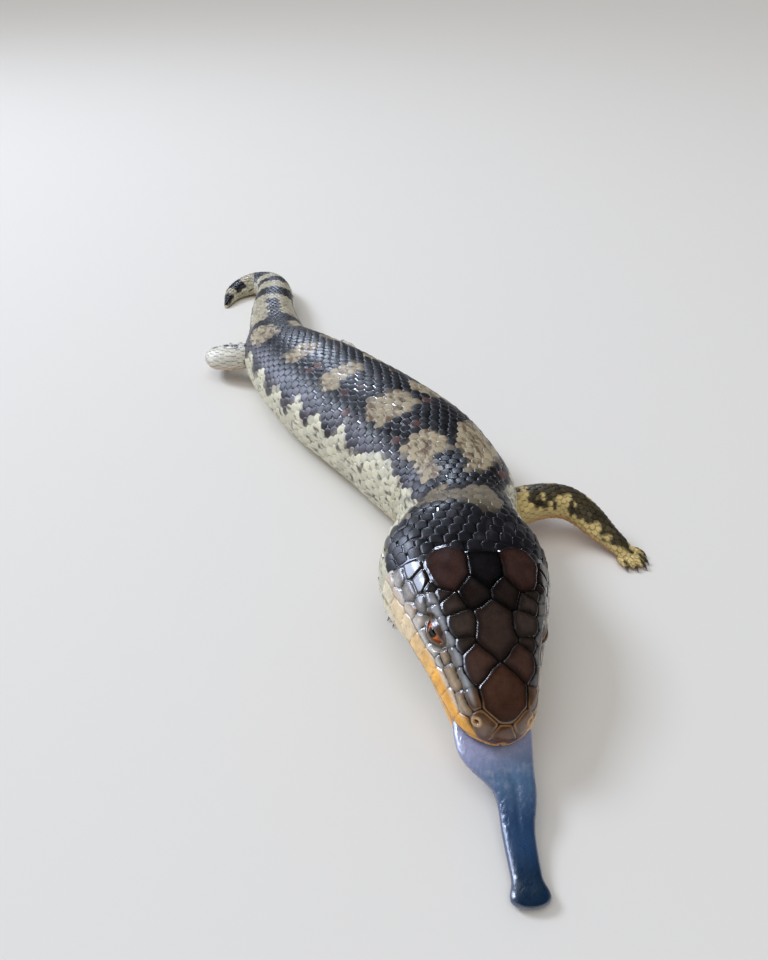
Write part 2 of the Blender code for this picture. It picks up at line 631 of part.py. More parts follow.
def narrow_front(jaw):
    """Draws the lower jaw's front in, so that the upper lip overhangs it."""
    for vert in jaw.data.vertices:
        vert.co.x *= 1 - JAW_INSET * (1 - float(smooth(vert.co.y, *JAW_INSET_SPAN)))


def copy_of(obj, name):
    """A second object with its own copy of the mesh."""
    made = obj.copy()
    made.data = obj.data.copy()
    made.name = name
    PARTS.objects.link(made)
    return made


def tongue_points():
    """The tongue's path in the world: out over the lower lip and down to the floor."""
    inside = to_world(np.array([(0, y * MM, z * MM) for y, z in TONGUE_INSIDE]))
    outside = np.array(TONGUE_OUTSIDE) * MM - np.array((*PLAN_CENTRE, 0))
    return np.vstack([inside, outside])


def tongue(name, grow=0.0):
    """A broad flat band that narrows to a neck and ends in a wider, blunt tip."""
    last = len(TONGUE_WIDE) - 1
    full = last - TONGUE_CLOSING
    closing = np.sin(np.linspace(0, math.pi / 2, TONGUE_ENDS + 2)[1:-1])
    at = np.concatenate([np.linspace(0, full, TONGUE_STEPS), full + TONGUE_CLOSING * closing, [last]])
    line = spline(tongue_points(), at)
    way = np.gradient(line, axis=0)
    run = np.concatenate([[0], np.cumsum(np.linalg.norm(np.diff(line, axis=0), axis=1))])
    share = rounded(run[-1] - run, TONGUE_BLUNT)
    wide, thick = (keyed(at, range(last + 1), row) * share * MM for row in (TONGUE_WIDE, TONGUE_THICK))
    rings = tube_rings(line[:-1], np.stack([wide, thick], 1)[:-1], TONGUE_SIDES, grow, way=way[:-1])
    out = line[[0, -1]] - line[[1, -2]]
    out /= np.linalg.norm(out, axis=1, keepdims=True)
    ends = line[[0, -1]] + out * (grow + WELD)
    return loft(name, rings, floor=not grow, start=ends[0], end=ends[1])


def eye_place(side):
    """Centre and outward direction of an eyeball in the head's frame; side 1 is the left."""
    around = EYE_PLACE[1] if side > 0 else SECTION - EYE_PLACE[1]
    point, normal = on_head(EYE_PLACE[0], around)
    return Vector(point - normal * EYE_SINK), Vector(normal)


def lid_ring(side):
    """The rim of both lids: a band on a sphere just over the eyeball."""
    centre, normal = eye_place(side)
    along = Vector((0, 1, 0)) - normal * normal.y
    along.normalize()
    up = normal.cross(along)
    rim = EYE_RADIUS + GAP + LID_THICK / 2
    count, sides = LID_CUTS
    points = []
    for k in range(count):
        angle = 2 * math.pi * k / count
        p, q = LID_RING[0] * math.cos(angle), LID_RING[1] * math.sin(angle)
        points.append(np.array(centre + along * p + up * q + normal * math.sqrt(rim**2 - p * p - q * q)))
    points = np.array(points)
    out = points - np.array(centre)
    out /= np.linalg.norm(out, axis=1, keepdims=True)
    way = np.roll(points, -1, 0) - np.roll(points, 1, 0)
    way /= np.linalg.norm(way, axis=1, keepdims=True)
    side_way = np.cross(way, out)
    turns = np.arange(sides) * 2 * math.pi / sides
    rings = points[:, None] + LID_THICK * (
        np.cos(turns)[None, :, None] * out[:, None] + np.sin(turns)[None, :, None] * side_way[:, None]
    )
    faces = []
    for ring in range(count):
        for k in range(sides):
            n, after = (k + 1) % sides, (ring + 1) % count
            faces.append((ring * sides + k, ring * sides + n, after * sides + n, after * sides + k))
    mesh = bpy.data.meshes.new("lid")
    mesh.from_pydata([tuple(p) for p in rings.reshape(-1, 3)], [], faces)
    made = bpy.data.objects.new("lid", mesh)
    PARTS.objects.link(made)
    outward(made)
    return made


def head_and_jaw():
    """Cuts the whole head into the head, with lids, ears and nostrils, and the lower jaw."""
    head = whole_head()
    jaw = copy_of(head, "lower_jaw")
    boolean(jaw, "INTERSECT", jaw_block(-GAP / 2))
    narrow_front(jaw)
    jaw.data.transform(opened())
    swing = jaw_block(GAP)
    swing.data.transform(opened())
    boolean(head, "DIFFERENCE", jaw_block(GAP / 2))
    boolean(head, "DIFFERENCE", swing)
    for side in (1, -1):
        boolean(head, "UNION", lid_ring(side))
        centre, _ = eye_place(side)
        boolean(head, "DIFFERENCE", ball("socket", centre, [EYE_RADIUS + GAP] * 3, SOCKET_CUTS))
        for (way, around), size in ((EAR_PLACE, EAR_CUP), (NOSTRIL_PLACE, NOSTRIL_CUP)):
            point, normal = on_head(way, around if side > 0 else SECTION - around)
            turn = Vector((1, 0, 0)).rotation_difference(Vector(normal)).to_matrix()
            boolean(head, "DIFFERENCE", ball("cup", Vector(point), size, CUP_CUTS, turn))
    for each in (head, jaw):
        each.data.transform(head_matrix())
        boolean(each, "DIFFERENCE", tongue("tongue_space", GAP))
        keep_largest(each)
    return head, jaw


def eyeball(name, side):
    """One eyeball in the world; side 1 is the left."""
    centre, _ = eye_place(side)
    made = ball(name, centre, [EYE_RADIUS] * 3, EYE_CUTS)
    made.data.transform(head_matrix())
    return made


def body_length(name, first, last, steps, tip=False):
    """One length of the body between two ways along the spine, in mm."""
    around = places_around(BODY_SIDES)
    along = np.linspace(first, last, steps) * MM
    rings = body_rings(along, around)
    end = None
    if tip:
        end = rings[-1].mean(0) + (rings[-1].mean(0) - rings[-2].mean(0)) * TAIL_POINT[0]
        end[2] = max(end[2], TAIL_POINT[1])
    return loft(name, rings, end=end)


def neck_length(name):
    """The neck between the head's cut and the body."""
    around = places_around(BODY_SIDES)
    return loft(name, neck_rings(np.linspace(GAP / NECK_LENGTH, 1, NECK_STEPS), around))


def body_space():
    """The neck, body and tail grown by the gap, which the legs are cut clear of."""
    around = places_around(BODY_SIDES)
    neck = neck_rings(np.linspace(GAP / NECK_LENGTH, 1, NECK_STEPS), around, GAP)
    body = body_rings(np.linspace(0, BODY_CUTS[0], TORSO_STEPS)[1:] * MM, around, GAP)
    tail = body_rings(np.linspace(BODY_CUTS[0], BODY_CUTS[1], TAIL_STEPS)[1:] * MM, around, GAP)
    return loft("body_space", np.concatenate([neck, body, tail]), floor=False)


def leg(side_name, kind, joints, sizes, foot):
    """Upper part, lower part and foot of one leg. Joints run from inside the body to the ankle, in mm."""
    names = ("upper_arm", "forearm", "forefoot") if kind == "fore" else ("thigh", "shank", "hindfoot")
    joints = np.array(joints) * MM - np.array((*PLAN_CENTRE, 0))
    sizes = np.array(sizes) * MM
    lengths = np.linalg.norm(np.diff(joints, axis=0), axis=1)
    gaps = JOINT_GAP / 2 / lengths
    made = []
    for k, (first, last) in enumerate(((0, 1 - gaps[0]), (1 + gaps[1], 2 - gaps[1]))):
        at = np.linspace(first, last, LEG_STEPS)
        way = bent(joints, at + LEG_PROBE) - bent(joints, at - LEG_PROBE)
        rings = tube_rings(bent(joints, at), spline(sizes, at), LEG_SIDES, way=way)
        made.append(loft(f"{names[k]}_{side_name}", rings))
    for piece in made:
        boolean(piece, "DIFFERENCE", body_space())
        keep_largest(piece)
    ankle = bent(joints, np.array((2 - LEG_PROBE, 2)))
    made.append(paw(f"{names[2]}_{side_name}", joints[2], ankle[1] - ankle[0], sizes[2], foot))
    return made


def toe_length(root, out, length):
    """One toe with its claw, from its root in the palm along the direction `out`."""
    tip = root + out * length
    line = np.array([root, (root + tip) / 2, tip, tip + out * CLAW / 2, tip + out * CLAW])
    line[:, 2] = np.array(TOE_HEIGHT) * MM
    at = np.linspace(0, len(line) - 1, TOE_STEPS)
    rings = tube_rings(spline(line, at), spline(np.array(TOE_HALF) * MM, at), TOE_SIDES)
    return loft("toe", rings, end=line[-1] + out * GAP / 2)


def paw(name, wrist, came, size, foot):
    """A flat palm on the floor with five clawed toes."""
    heading, palm, half_width, toes = foot
    heading = math.radians(heading)
    forward = np.array((math.cos(heading), math.sin(heading), 0))
    across = np.array((-forward[1], forward[0], 0))
    came = came / np.linalg.norm(came)
    start = wrist + came * JOINT_GAP / 2
    knuckle = start * (1, 1, 0) + forward * palm * MM
    knuckle[2] = PALM_HIGH[1] * MM
    middle = (start + knuckle) / 2
    middle[2] = max(middle[2], PALM_HIGH[0] * MM)
    flat = np.array(((half_width * PALM_NARROW, PALM_HIGH[0]), (half_width, PALM_HIGH[1]))) * MM
    at = np.linspace(0, 2, PALM_STEPS)
    turned = (at / 2)[:, None]
    way = (1 - turned) * came + turned * forward
    rings = tube_rings(
        spline([start, middle, knuckle], at), spline(np.vstack([size, flat]), at), PALM_SIDES, way=way,
    )
    hand = loft(name, rings, end=knuckle + forward * TOE_ROOT)
    joined = bpy.data.collections.new("toes")
    bpy.context.scene.collection.children.link(joined)
    for (angle, length), place in zip(toes, np.linspace(-TOE_SPREAD, TOE_SPREAD, len(toes))):
        way = math.radians(angle) + heading
        out = np.array((math.cos(way), math.sin(way), 0))
        root = knuckle + across * place * half_width * MM - forward * TOE_ROOT * (1 + abs(place))
        toe = toe_length(root, out, length * MM)
        PARTS.objects.unlink(toe)
        joined.objects.link(toe)
    boolean(hand, "UNION", joined)
    keep_largest(hand)
    return hand


def build():
    """Makes every piece and gives each its finish."""
    for old in list(bpy.data.objects):
        bpy.data.objects.remove(old)
    bpy.context.scene.collection.children.link(PARTS)
    flesh, belly = material("dark_skin", *DARK_SKIN), material("pale_skin", *PALE_SKIN)
    blue, wet = material("blue_tongue", *BLUE_TONGUE), material("wet_eye", *WET_EYE)
    head, jaw = head_and_jaw()
    pieces = [(head, flesh), (jaw, belly), (tongue("tongue"), blue)]
    pieces += [(eyeball("eye_left", 1), wet), (eyeball("eye_right", -1), wet)]
    pieces.append((neck_length("neck"), flesh))
    half = GAP / MM
    pieces.append((body_length("torso", half, BODY_CUTS[0], TORSO_STEPS), flesh))
    for k, name in enumerate(("tail_base", "tail_middle", "tail_end")):
        last = k == 2
        pieces.append((body_length(name, BODY_CUTS[k] + half, BODY_CUTS[k + 1], TAIL_STEPS, last), flesh))
    for side, kind, joints, sizes, foot in LEGS:
        pieces += [(piece, belly) for piece in leg(side, kind, joints, sizes, foot)]
    for piece, finish in pieces:
        piece.data.materials.clear()
        piece.data.materials.append(finish)
        piece.data.shade_smooth()
        piece.data.set_sharp_from_angle(angle=SHARP)


build()
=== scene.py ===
"""Looks of the young blotched blue-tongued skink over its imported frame.

One seamless skin, joined overlapping scales, eyes, tongue and claws are made from named sizes and
whole arrays. Metres in the frame's own axes; tables of sizes are in millimetres.
"""

import logging
import math
from collections.abc import Callable
from dataclasses import dataclass, field
from enum import Enum

import bpy
import numpy as np
from mathutils import Matrix, Vector

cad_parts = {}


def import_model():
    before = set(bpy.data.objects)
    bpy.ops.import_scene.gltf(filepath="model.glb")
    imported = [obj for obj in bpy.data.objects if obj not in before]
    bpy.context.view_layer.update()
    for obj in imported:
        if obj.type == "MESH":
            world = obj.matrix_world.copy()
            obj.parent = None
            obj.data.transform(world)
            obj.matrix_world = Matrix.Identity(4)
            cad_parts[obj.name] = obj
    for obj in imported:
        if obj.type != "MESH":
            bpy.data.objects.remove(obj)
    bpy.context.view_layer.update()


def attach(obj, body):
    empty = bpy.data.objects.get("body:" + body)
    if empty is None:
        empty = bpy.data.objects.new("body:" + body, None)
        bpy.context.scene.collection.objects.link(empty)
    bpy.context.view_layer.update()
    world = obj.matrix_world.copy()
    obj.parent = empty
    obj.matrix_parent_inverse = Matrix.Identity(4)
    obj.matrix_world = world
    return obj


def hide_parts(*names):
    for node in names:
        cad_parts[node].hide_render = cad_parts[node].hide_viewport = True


LOG = logging.getLogger("skink")
BODY = "root"
MM = 0.001
PLAN_CENTRE = np.array((-0.1, 114.3, 0.0)) * MM  # Middle of the plan, which is the world's origin
COAT_DEPTH = 0.22 * MM  # How deep the skin lies under the smooth forms, for the scales to fill
PIECE_LIMIT = 190_000  # Greatest count of triangles in one piece of the coat
TURN = 12  # Places around a section: 0 at the top, 3 at the lip, 6 underneath, then up the right side
PROBE = 0.05  # Step in mm and in places around over which the head's direction is taken
NOSTRIL = (1.6, 1.45)  # Way from the snout in mm and place around
EAR = (24.2, 2.45)  # The same for the ear's opening
FAR = 9.0  # Distance from the lips in mm that points away from the mouth carry
FORE_MARK = 100.0  # Added to the place around of points on the forelegs
UNWRAPPED = 170.0  # Length in mm that the width of the unwrap holds
STRIPS = 24  # Legs and toes side by side in a row of the unwrap
STRIP_CORNER, STRIP_STEP, STRIP_SIZE = np.array(((0.15, 0.87), (0.0345, 0.062), (0.032, 0.056)))


class Side(Enum):
    """The two sides of the animal; the left is +X at the head."""

    LEFT = 1
    RIGHT = -1


def smooth(at: np.ndarray, low: float, high: float) -> np.ndarray:
    """Eased step from 0 at `low` to 1 at `high`."""
    share = np.clip((np.asarray(at, float) - low) / (high - low), 0, 1)
    return share * share * (3 - 2 * share)


def linear(code: str) -> np.ndarray:
    """Turns an sRGB hex colour into linear light.

    Args:
        code: Six hexadecimal digits.

    Returns:
        Three linear values.
    """
    values = np.array([int(code[k:k + 2], 16) / 255 for k in (0, 2, 4)])
    return np.where(values <= 0.04045, values / 12.92, ((values + 0.055) / 1.055) ** 2.4)


def hermite(
    f: np.ndarray, start: np.ndarray, start_way: np.ndarray, end: np.ndarray, end_way: np.ndarray,
) -> np.ndarray:
    """The cubic between two places that leaves and reaches them in given directions.

    Args:
        f: Share of the way from the first place to the second.
        start: The first place.
        start_way: Direction and pace there, for a share of 1.
        end: The second place.
        end_way: Direction and pace there.

    Returns:
        Places between the two.
    """
    return (
        (2 * f**3 - 3 * f**2 + 1) * start + (f**3 - 2 * f**2 + f) * start_way
        + (3 * f**2 - 2 * f**3) * end + (f**3 - f**2) * end_way
    )


def keyed(at: np.ndarray, keys: np.ndarray, values: np.ndarray) -> np.ndarray:
    """A smooth curve through keys that never overshoots them."""
    at, keys, values = (np.asarray(each, float) for each in (at, keys, values))
    step = np.diff(keys)
    slope = np.diff(values) / step
    tangent = np.concatenate([slope[:1], np.zeros(len(keys) - 2), slope[-1:]])
    rising = slope[:-1] * slope[1:] > 0
    near, far = 2 * step[1:] + step[:-1], step[1:] + 2 * step[:-1]
    before, after = np.where(rising, slope[:-1], 1), np.where(rising, slope[1:], 1)
    tangent[1:-1][rising] = ((near + far) / (near / before + far / after))[rising]
    span = np.clip(np.searchsorted(keys, at, side="right") - 1, 0, len(step) - 1)
    here, there = (step[span] * tangent[span + k] for k in (0, 1))
    return hermite((at - keys[span]) / step[span], values[span], here, values[span + 1], there)


def spline(points: np.ndarray, at: np.ndarray) -> np.ndarray:
    """Points on a smooth curve through `points`, where `at` counts the points from 0."""
    points = np.asarray(points, float)
    padded = np.vstack([2 * points[0] - points[1], points, 2 * points[-1] - points[-2]])
    span = np.clip(np.floor(at).astype(int), 0, len(points) - 2)
    f = (np.asarray(at, float) - span)[:, None]
    a, b, c, d = (padded[span + k] for k in range(4))
    return 0.5 * (2 * b + (c - a) * f + (2 * a - 5 * b + 4 * c - d) * f**2 + (3 * b - a - 3 * c + d) * f**3)


def hashed(cell: np.ndarray, seed: float) -> np.ndarray:
    """A repeatable value from 0 to 1 for each whole-number place."""
    mixed = np.sin(cell @ np.array((12.9898, 78.233, 37.719)) + seed * 4.137) * 43758.5453
    return mixed - np.floor(mixed)


def noise(points: np.ndarray, size: float, seed: float = 0.0) -> np.ndarray:
    """Smooth noise from -1 to 1 whose lumps are about `size` across."""
    scaled = np.asarray(points, float) / size
    base = np.floor(scaled)
    f = scaled - base
    f = f * f * (3 - 2 * f)
    total = np.zeros(scaled.shape[:-1])
    for corner in np.ndindex(2, 2, 2):
        weight = np.prod(np.where(np.array(corner) > 0, f, 1 - f), axis=-1)
        total += weight * hashed(base + np.array(corner), seed)
    return 2 * total - 1


def mixed(first: np.ndarray, second: np.ndarray, share: np.ndarray) -> np.ndarray:
    """Blends two colours or arrays of colours by a share per point."""
    share = np.asarray(share, float)[..., None]
    return first * (1 - share) + second * share


def unit(vectors: np.ndarray) -> np.ndarray:
    """Vectors drawn out or in to a length of 1."""
    return vectors / np.maximum(np.linalg.norm(vectors, axis=-1, keepdims=True), 1e-20)


def measured(line: np.ndarray) -> np.ndarray:
    """Distance along a line of points at each of them."""
    return np.append(0, np.cumsum(np.linalg.norm(np.diff(line, axis=0), axis=1)))


def depth_of(around: np.ndarray) -> np.ndarray:
    """How far down either side of a section its places lie: 0 at the top, 6 underneath."""
    return np.minimum(around % TURN, TURN - around % TURN)


def bell(at: np.ndarray, middle: np.ndarray | float, width: float) -> np.ndarray:
    """A smooth hump of height 1 at `middle`."""
    return np.exp(-(((at - middle) / width) ** 2))


def powered(value: np.ndarray, power: float) -> np.ndarray:
    """A sine or cosine raised to a power with its sign kept, which squares a circle's section."""
    return np.sign(value) * np.abs(value) ** power


def from_plan(points: np.ndarray) -> np.ndarray:
    """Points in mm of the animal's plan as metres in the world."""
    return np.asarray(points, float) * MM - PLAN_CENTRE


@dataclass(frozen=True)
class HeadForm:
    """The head's smooth surface in its own frame: x left, y back from the snout, z up."""

    length: float = 27.0
    snout: tuple[float, float, float] = (12.5, 51.2, 5.6)
    yaw: float = math.radians(6.4)
    pitch: float = math.radians(9.5)
    roll: float = math.radians(8.5)
    keys: tuple[float, ...] = (0.0, 3.0, 8.0, 11.0, 15.5, 19.0, 22.5, 25.0, 27.0)
    top: tuple[float, ...] = (3.6, 5.0, 6.4, 7.2, 8.1, 8.5, 8.7, 8.6, 8.4)
    wide: tuple[tuple[float, ...], ...] = (
        (2.6, 3.2, 4.3, 5.4, 6.4, 7.0, 7.3, 7.1, 6.6), (3.4, 4.4, 6.2, 7.4, 8.9, 9.9, 10.4, 10.1, 9.4),
        (3.6, 4.8, 6.7, 7.9, 9.5, 10.6, 11.0, 10.6, 9.8), (3.0, 4.2, 6.0, 7.1, 8.6, 9.5, 9.9, 9.6, 8.8),
        (1.6, 2.2, 3.2, 3.8, 4.6, 5.2, 5.4, 5.3, 5.0),
    )
    high: tuple[tuple[float, ...], ...] = (
        (3.0, 4.3, 5.8, 6.5, 7.1, 7.3, 7.3, 7.1, 6.9), (1.6, 2.3, 3.1, 3.5, 3.8, 3.9, 4.0, 4.0, 4.0),
        (0.2, 0.2, 0.1, 0.0, -0.1, 0.0, 0.2, 0.4, 0.5),
        (-1.3, -1.8, -2.4, -2.7, -3.0, -3.0, -2.9, -2.8, -2.6),
        (-1.8, -2.6, -3.5, -4.0, -4.7, -5.0, -5.1, -5.0, -4.9),
    )
    low: tuple[float, ...] = (-2.0, -2.9, -3.9, -4.4, -5.1, -5.5, -5.6, -5.5, -5.4)
    rounding: float = 3.4
    nose: float = 0.8
    nose_end: float = 9.0
    middle: float = 0.9
    gape: float = math.radians(7.0)
    inset: float = 0.18
    mouth_end: float = 18.5
    mouth_line: tuple[tuple[float, float], ...] = (
        (-3.0, 0.1), (6.0, -0.1), (12.0, 0.0), (16.0, 0.2), (19.0, 0.3),
    )

    def points(self, way: np.ndarray, around: np.ndarray) -> np.ndarray:
        """Points of the closed-mouth surface.

        Args:
            way: Distance back from the snout in mm, any shape.
            around: Place in the section, 0 top, 3 lip, 6 underside, up the right side to 12.

        Returns:
            Points in mm with one more axis than the inputs.
        """
        way, around = np.broadcast_arrays(np.asarray(way, float), np.asarray(around, float))
        nothing = np.zeros_like(way)
        wide = [keyed(way, self.keys, row) for row in self.wide]
        high = [keyed(way, self.keys, row) for row in self.high]
        top, low = (keyed(way, self.keys, row) for row in (self.top, self.low))
        x = np.stack([nothing, *wide, nothing, *(-each for each in reversed(wide))])
        z = np.stack([top, *high, low, *reversed(high)])
        span = np.floor(around).astype(int)
        f = around - span
        weights = (
            0.5 * (-f + 2 * f**2 - f**3), 0.5 * (2 - 5 * f**2 + 3 * f**3),
            0.5 * (f + 4 * f**2 - 3 * f**3), 0.5 * (f**3 - f**2),
        )
        picked = [
            sum(
                weight * np.take_along_axis(row, ((span + k - 1) % TURN)[None], 0)[0]
                for k, weight in enumerate(weights)
            )
            for row in (x, z)
        ]
        share = np.sqrt(1 - (1 - np.clip(way / self.rounding, 0, 1)) ** 2)
        along = way - self.nose * (1 - smooth(way, 0.0, self.nose_end))
        return np.stack([picked[0] * share, along, self.middle + (picked[1] - self.middle) * share], -1)

    def mouth_around(self, way: np.ndarray) -> np.ndarray:
        """Where the mouth line crosses the left half of each section, as a place around it."""
        way = np.asarray(way, float)
        probe = np.linspace(2.2, 6.0, 400)
        line = np.interp(way, *np.array(self.mouth_line).T)
        above = self.points(way[:, None], probe[None, :])[..., 2] - line[:, None]
        last = np.clip((above > 0).sum(1) - 1, 0, len(probe) - 2)
        rows = np.arange(len(way))
        here, there = above[rows, last], above[rows, last + 1]
        share = np.clip(here / np.maximum(here - there, 1e-9), 0, 1)
        return probe[last] + share * (probe[1] - probe[0])

    def opened(self, points: np.ndarray, around: np.ndarray, below: np.ndarray) -> np.ndarray:
        """Turns the lower jaw open about the mouth's corner.

        Args:
            points: Points of the closed head in mm.
            around: Their places around the section.
            below: Share with which each belongs to the lower jaw.

        Returns:
            The moved points.
        """
        way = points[..., 1]
        corner = self.points(self.mouth_end, self.mouth_around([self.mouth_end])[0])
        hinge = np.array((self.mouth_end, corner[2]))
        behind = np.clip((way - self.mouth_end) / 3, 0, 1)
        from_lip = smooth(depth_of(around), 3.0, 4.6)
        turn = self.gape * below * (1 - smooth(way, 14.0, 23.0)) * (1 - behind * (1 - from_lip))
        y, z = points[..., 1] - hinge[0], points[..., 2] - hinge[1]
        return np.stack([
            points[..., 0] * (1 - self.inset * below * (1 - smooth(way, 11.0, self.mouth_end))),
            hinge[0] + y * np.cos(turn) - z * np.sin(turn),
            hinge[1] + y * np.sin(turn) + z * np.cos(turn),
        ], -1)

    def matrix(self) -> np.ndarray:
        """The head's frame in the world, for points in metres."""
        place = Matrix.Translation(Vector(from_plan(self.snout)))
        turn = Matrix.Rotation(self.yaw, 4, "Z") @ Matrix.Rotation(self.pitch, 4, "X")
        return np.array(place @ turn @ Matrix.Rotation(self.roll, 4, "Y"))

    def world(self, points: np.ndarray) -> np.ndarray:
        """Points in mm of the head's frame as metres in the world."""
        turn = self.matrix()
        return points * MM @ turn[:3, :3].T + turn[:3, 3]

    def place(self, way: float, around: float) -> tuple[np.ndarray, np.ndarray]:
        """A point of the surface in mm and its outward direction."""
        point = self.points(way, around)
        along = self.points(way + PROBE, around) - self.points(way - PROBE, around)
        across = self.points(way, (around + PROBE) % TURN) - self.points(way, (around - PROBE) % TURN)
        normal = unit(np.cross(along, across))
        outward = point - self.points(way, np.arange(float(TURN))).mean(0)
        return point, normal if normal @ outward > 0 else -normal


@dataclass(frozen=True)
class TrunkForm:
    """The smooth surface from the snout to the tail's tip, as one length counted in mm."""

    head: HeadForm = field(default_factory=HeadForm)
    neck: float = 10.5
    widest_at: float = 0.43
    squareness: float = 2.3
    lip_place: float = 3.05
    samples: int = 1300
    probe: float = 0.8
    neck_probe: float = 1.0
    spine: tuple[tuple[float, float], ...] = (
        (11.3, 87.3), (10.2, 95.0), (4.4, 106.3), (-1.6, 114.5), (-9.0, 124.0), (-16.2, 134.8),
        (-21.0, 143.7), (-23.2, 153.3), (-25.5, 166.0), (-26.6, 178.0), (-28.9, 187.0), (-33.4, 190.0),
        (-38.0, 186.2), (-39.4, 179.6),
    )
    sizes: tuple[tuple[float, float, float, float], ...] = (
        (0.0, 8.4, 15.2, 0.2), (8.0, 9.9, 14.6, -0.4), (20.0, 11.4, 15.2, -0.6), (31.0, 11.5, 15.4, -0.6),
        (43.0, 11.1, 15.2, -0.6), (56.0, 9.6, 14.0, -0.5), (66.0, 7.9, 12.2, -0.4), (75.6, 6.3, 10.2, -0.3),
        (88.0, 5.3, 8.9, -0.3), (100.0, 4.6, 7.8, -0.3), (110.0, 3.8, 6.4, -0.3), (116.3, 3.0, 5.1, -0.2),
        (121.5, 2.15, 3.8, -0.2), (125.8, 1.2, 2.3, -0.1), (128.4, 0.5, 1.1, -0.1),
    )

    @property
    def length(self) -> float:
        """Whole length from the snout to the tail's tip in mm."""
        return self.head.length + self.neck + self.sizes[-1][0]

    def body(self, along: np.ndarray, around: np.ndarray) -> np.ndarray:
        """Points of the body and tail in metres; `along` counts mm from the shoulders, one per ring."""
        along = np.asarray(along, float)
        line = spline(self.spine, np.linspace(0, len(self.spine) - 1, self.samples))
        way = measured(line)
        inside = np.clip(along, self.probe, way[-1] - self.probe)
        centre, ahead, behind = (
            np.stack([np.interp(each, way, line[:, k]) for k in (0, 1)], 1)
            for each in (along, inside + self.probe, inside - self.probe)
        )
        back = unit(ahead - behind)
        left = np.stack([back[:, 1], -back[:, 0]], 1)
        keys, *rows = np.array(self.sizes).T
        half, top, low = (keyed(along, keys, row)[:, None] for row in rows)
        widest = self.widest_at * top
        angle = np.broadcast_to(around, (len(along), np.shape(around)[-1])) * (math.tau / TURN)
        upright = np.cos(angle)
        power = 2 / self.squareness
        x = half * powered(np.sin(angle), power)
        z = widest + np.where(upright > 0, top - widest, widest - low) * powered(upright, power)
        plan = centre[:, None] + x[..., None] * left[:, None]
        return from_plan(np.concatenate([plan, z[..., None]], 2))

    def rings(self, way: np.ndarray, around: np.ndarray) -> np.ndarray:
        """Rings of the whole surface in metres in the world, mouth open.

        Args:
            way: One distance in mm from the snout for each ring.
            around: Places around each ring, one row for all or one for each ring.

        Returns:
            An array of rings by places by 3.
        """
        way = np.asarray(way, float)
        around = np.broadcast_to(around, (len(way), np.shape(around)[-1]))
        result = np.empty((*around.shape, 3))
        head, tail = way <= self.head.length, way >= self.head.length + self.neck
        neck = ~head & ~tail
        if head.any():
            result[head] = self.head_rings(way[head], around[head])
        if tail.any():
            result[tail] = self.body(way[tail] - self.head.length - self.neck, around[tail])
        if neck.any():
            result[neck] = self.neck_rings((way[neck] - self.head.length) / self.neck, around[neck])
        return result

    def head_rings(self, way: np.ndarray, around: np.ndarray) -> np.ndarray:
        """Rings of the head in the world, whose places under the mouth line swing with the jaw."""
        closed = self.head.points(way[:, None], around)
        below = (depth_of(around) > self.lip_place).astype(float)
        return self.head.world(self.head.opened(closed, around % TURN, below))

    def neck_rings(self, share: np.ndarray, around: np.ndarray) -> np.ndarray:
        """Rings from the head's last section to the body's first, smooth into both."""
        f, row = np.asarray(share, float)[:, None, None], around[:1]
        reach = self.neck / self.neck_probe
        ends = np.array((self.head.length - self.neck_probe, self.head.length))
        head = self.head.world(self.head.points(ends[:, None], row))
        body = self.body(np.array((0, self.neck_probe)), row)
        return hermite(f, head[1], (head[1] - head[0]) * reach, body[0], (body[1] - body[0]) * reach)


@dataclass(frozen=True)
class LimbForm:
    """A leg's smooth surface from its root over knee and ankle to the knuckles, or a toe's."""

    line: np.ndarray
    keys: tuple[float, ...]
    sizes: tuple[tuple[float, float], ...]
    forward: np.ndarray | None = None
    knee_rounding: float = 0.9
    steps: int = 64
    sides: int = 40
    probe: float = 0.01

    def path(self, at: np.ndarray) -> np.ndarray:
        """Points in mm on the line; `at` counts its joints from 0. A leg's joints are rounded."""
        if self.forward is None:
            return spline(self.line, at)
        root, knee, ankle, knuckle = self.line
        upper, lower = knee - root, ankle - knee
        through = self.knee_rounding * unit(unit(upper) + unit(lower))
        palm = np.linalg.norm(knuckle - ankle)
        starts = np.stack([upper, through * np.linalg.norm(lower), unit(lower) * palm])
        ends = np.stack([through * np.linalg.norm(upper), lower, self.forward * palm])
        span = np.clip(np.floor(at).astype(int), 0, 2)
        f = (np.asarray(at, float) - span)[:, None]
        return hermite(f, self.line[span], starts[span], self.line[span + 1], ends[span])

    def rings(self, at: np.ndarray, around: np.ndarray) -> np.ndarray:
        """Rings in metres in the world; a turn of `around` starts at the top."""
        at = np.asarray(at, float)
        inside = np.clip(at, self.probe, len(self.line) - 1 - self.probe)
        way = unit(self.path(inside + self.probe) - self.path(inside - self.probe))
        side = unit(np.cross((0, 0, 1.0), way))
        up = np.cross(way, side)
        size = np.stack([keyed(at, self.keys, column) for column in zip(*self.sizes)], 1)
        angle = np.asarray(around, float)[None, :, None] * (math.tau / TURN)
        across = np.sin(angle) * (size[:, :1] * side)[:, None]
        return from_plan(self.path(at)[:, None] - across + np.cos(angle) * (size[:, 1:] * up)[:, None])

    def sheet(self, first: float, last: float) -> "Sheet":
        """The surface as a table whose distance counts mm along the line."""
        at = np.linspace(first, last, 160)
        around = np.linspace(0, TURN, 97)
        return Sheet(measured(self.path(at)), self.rings(at, around), around)


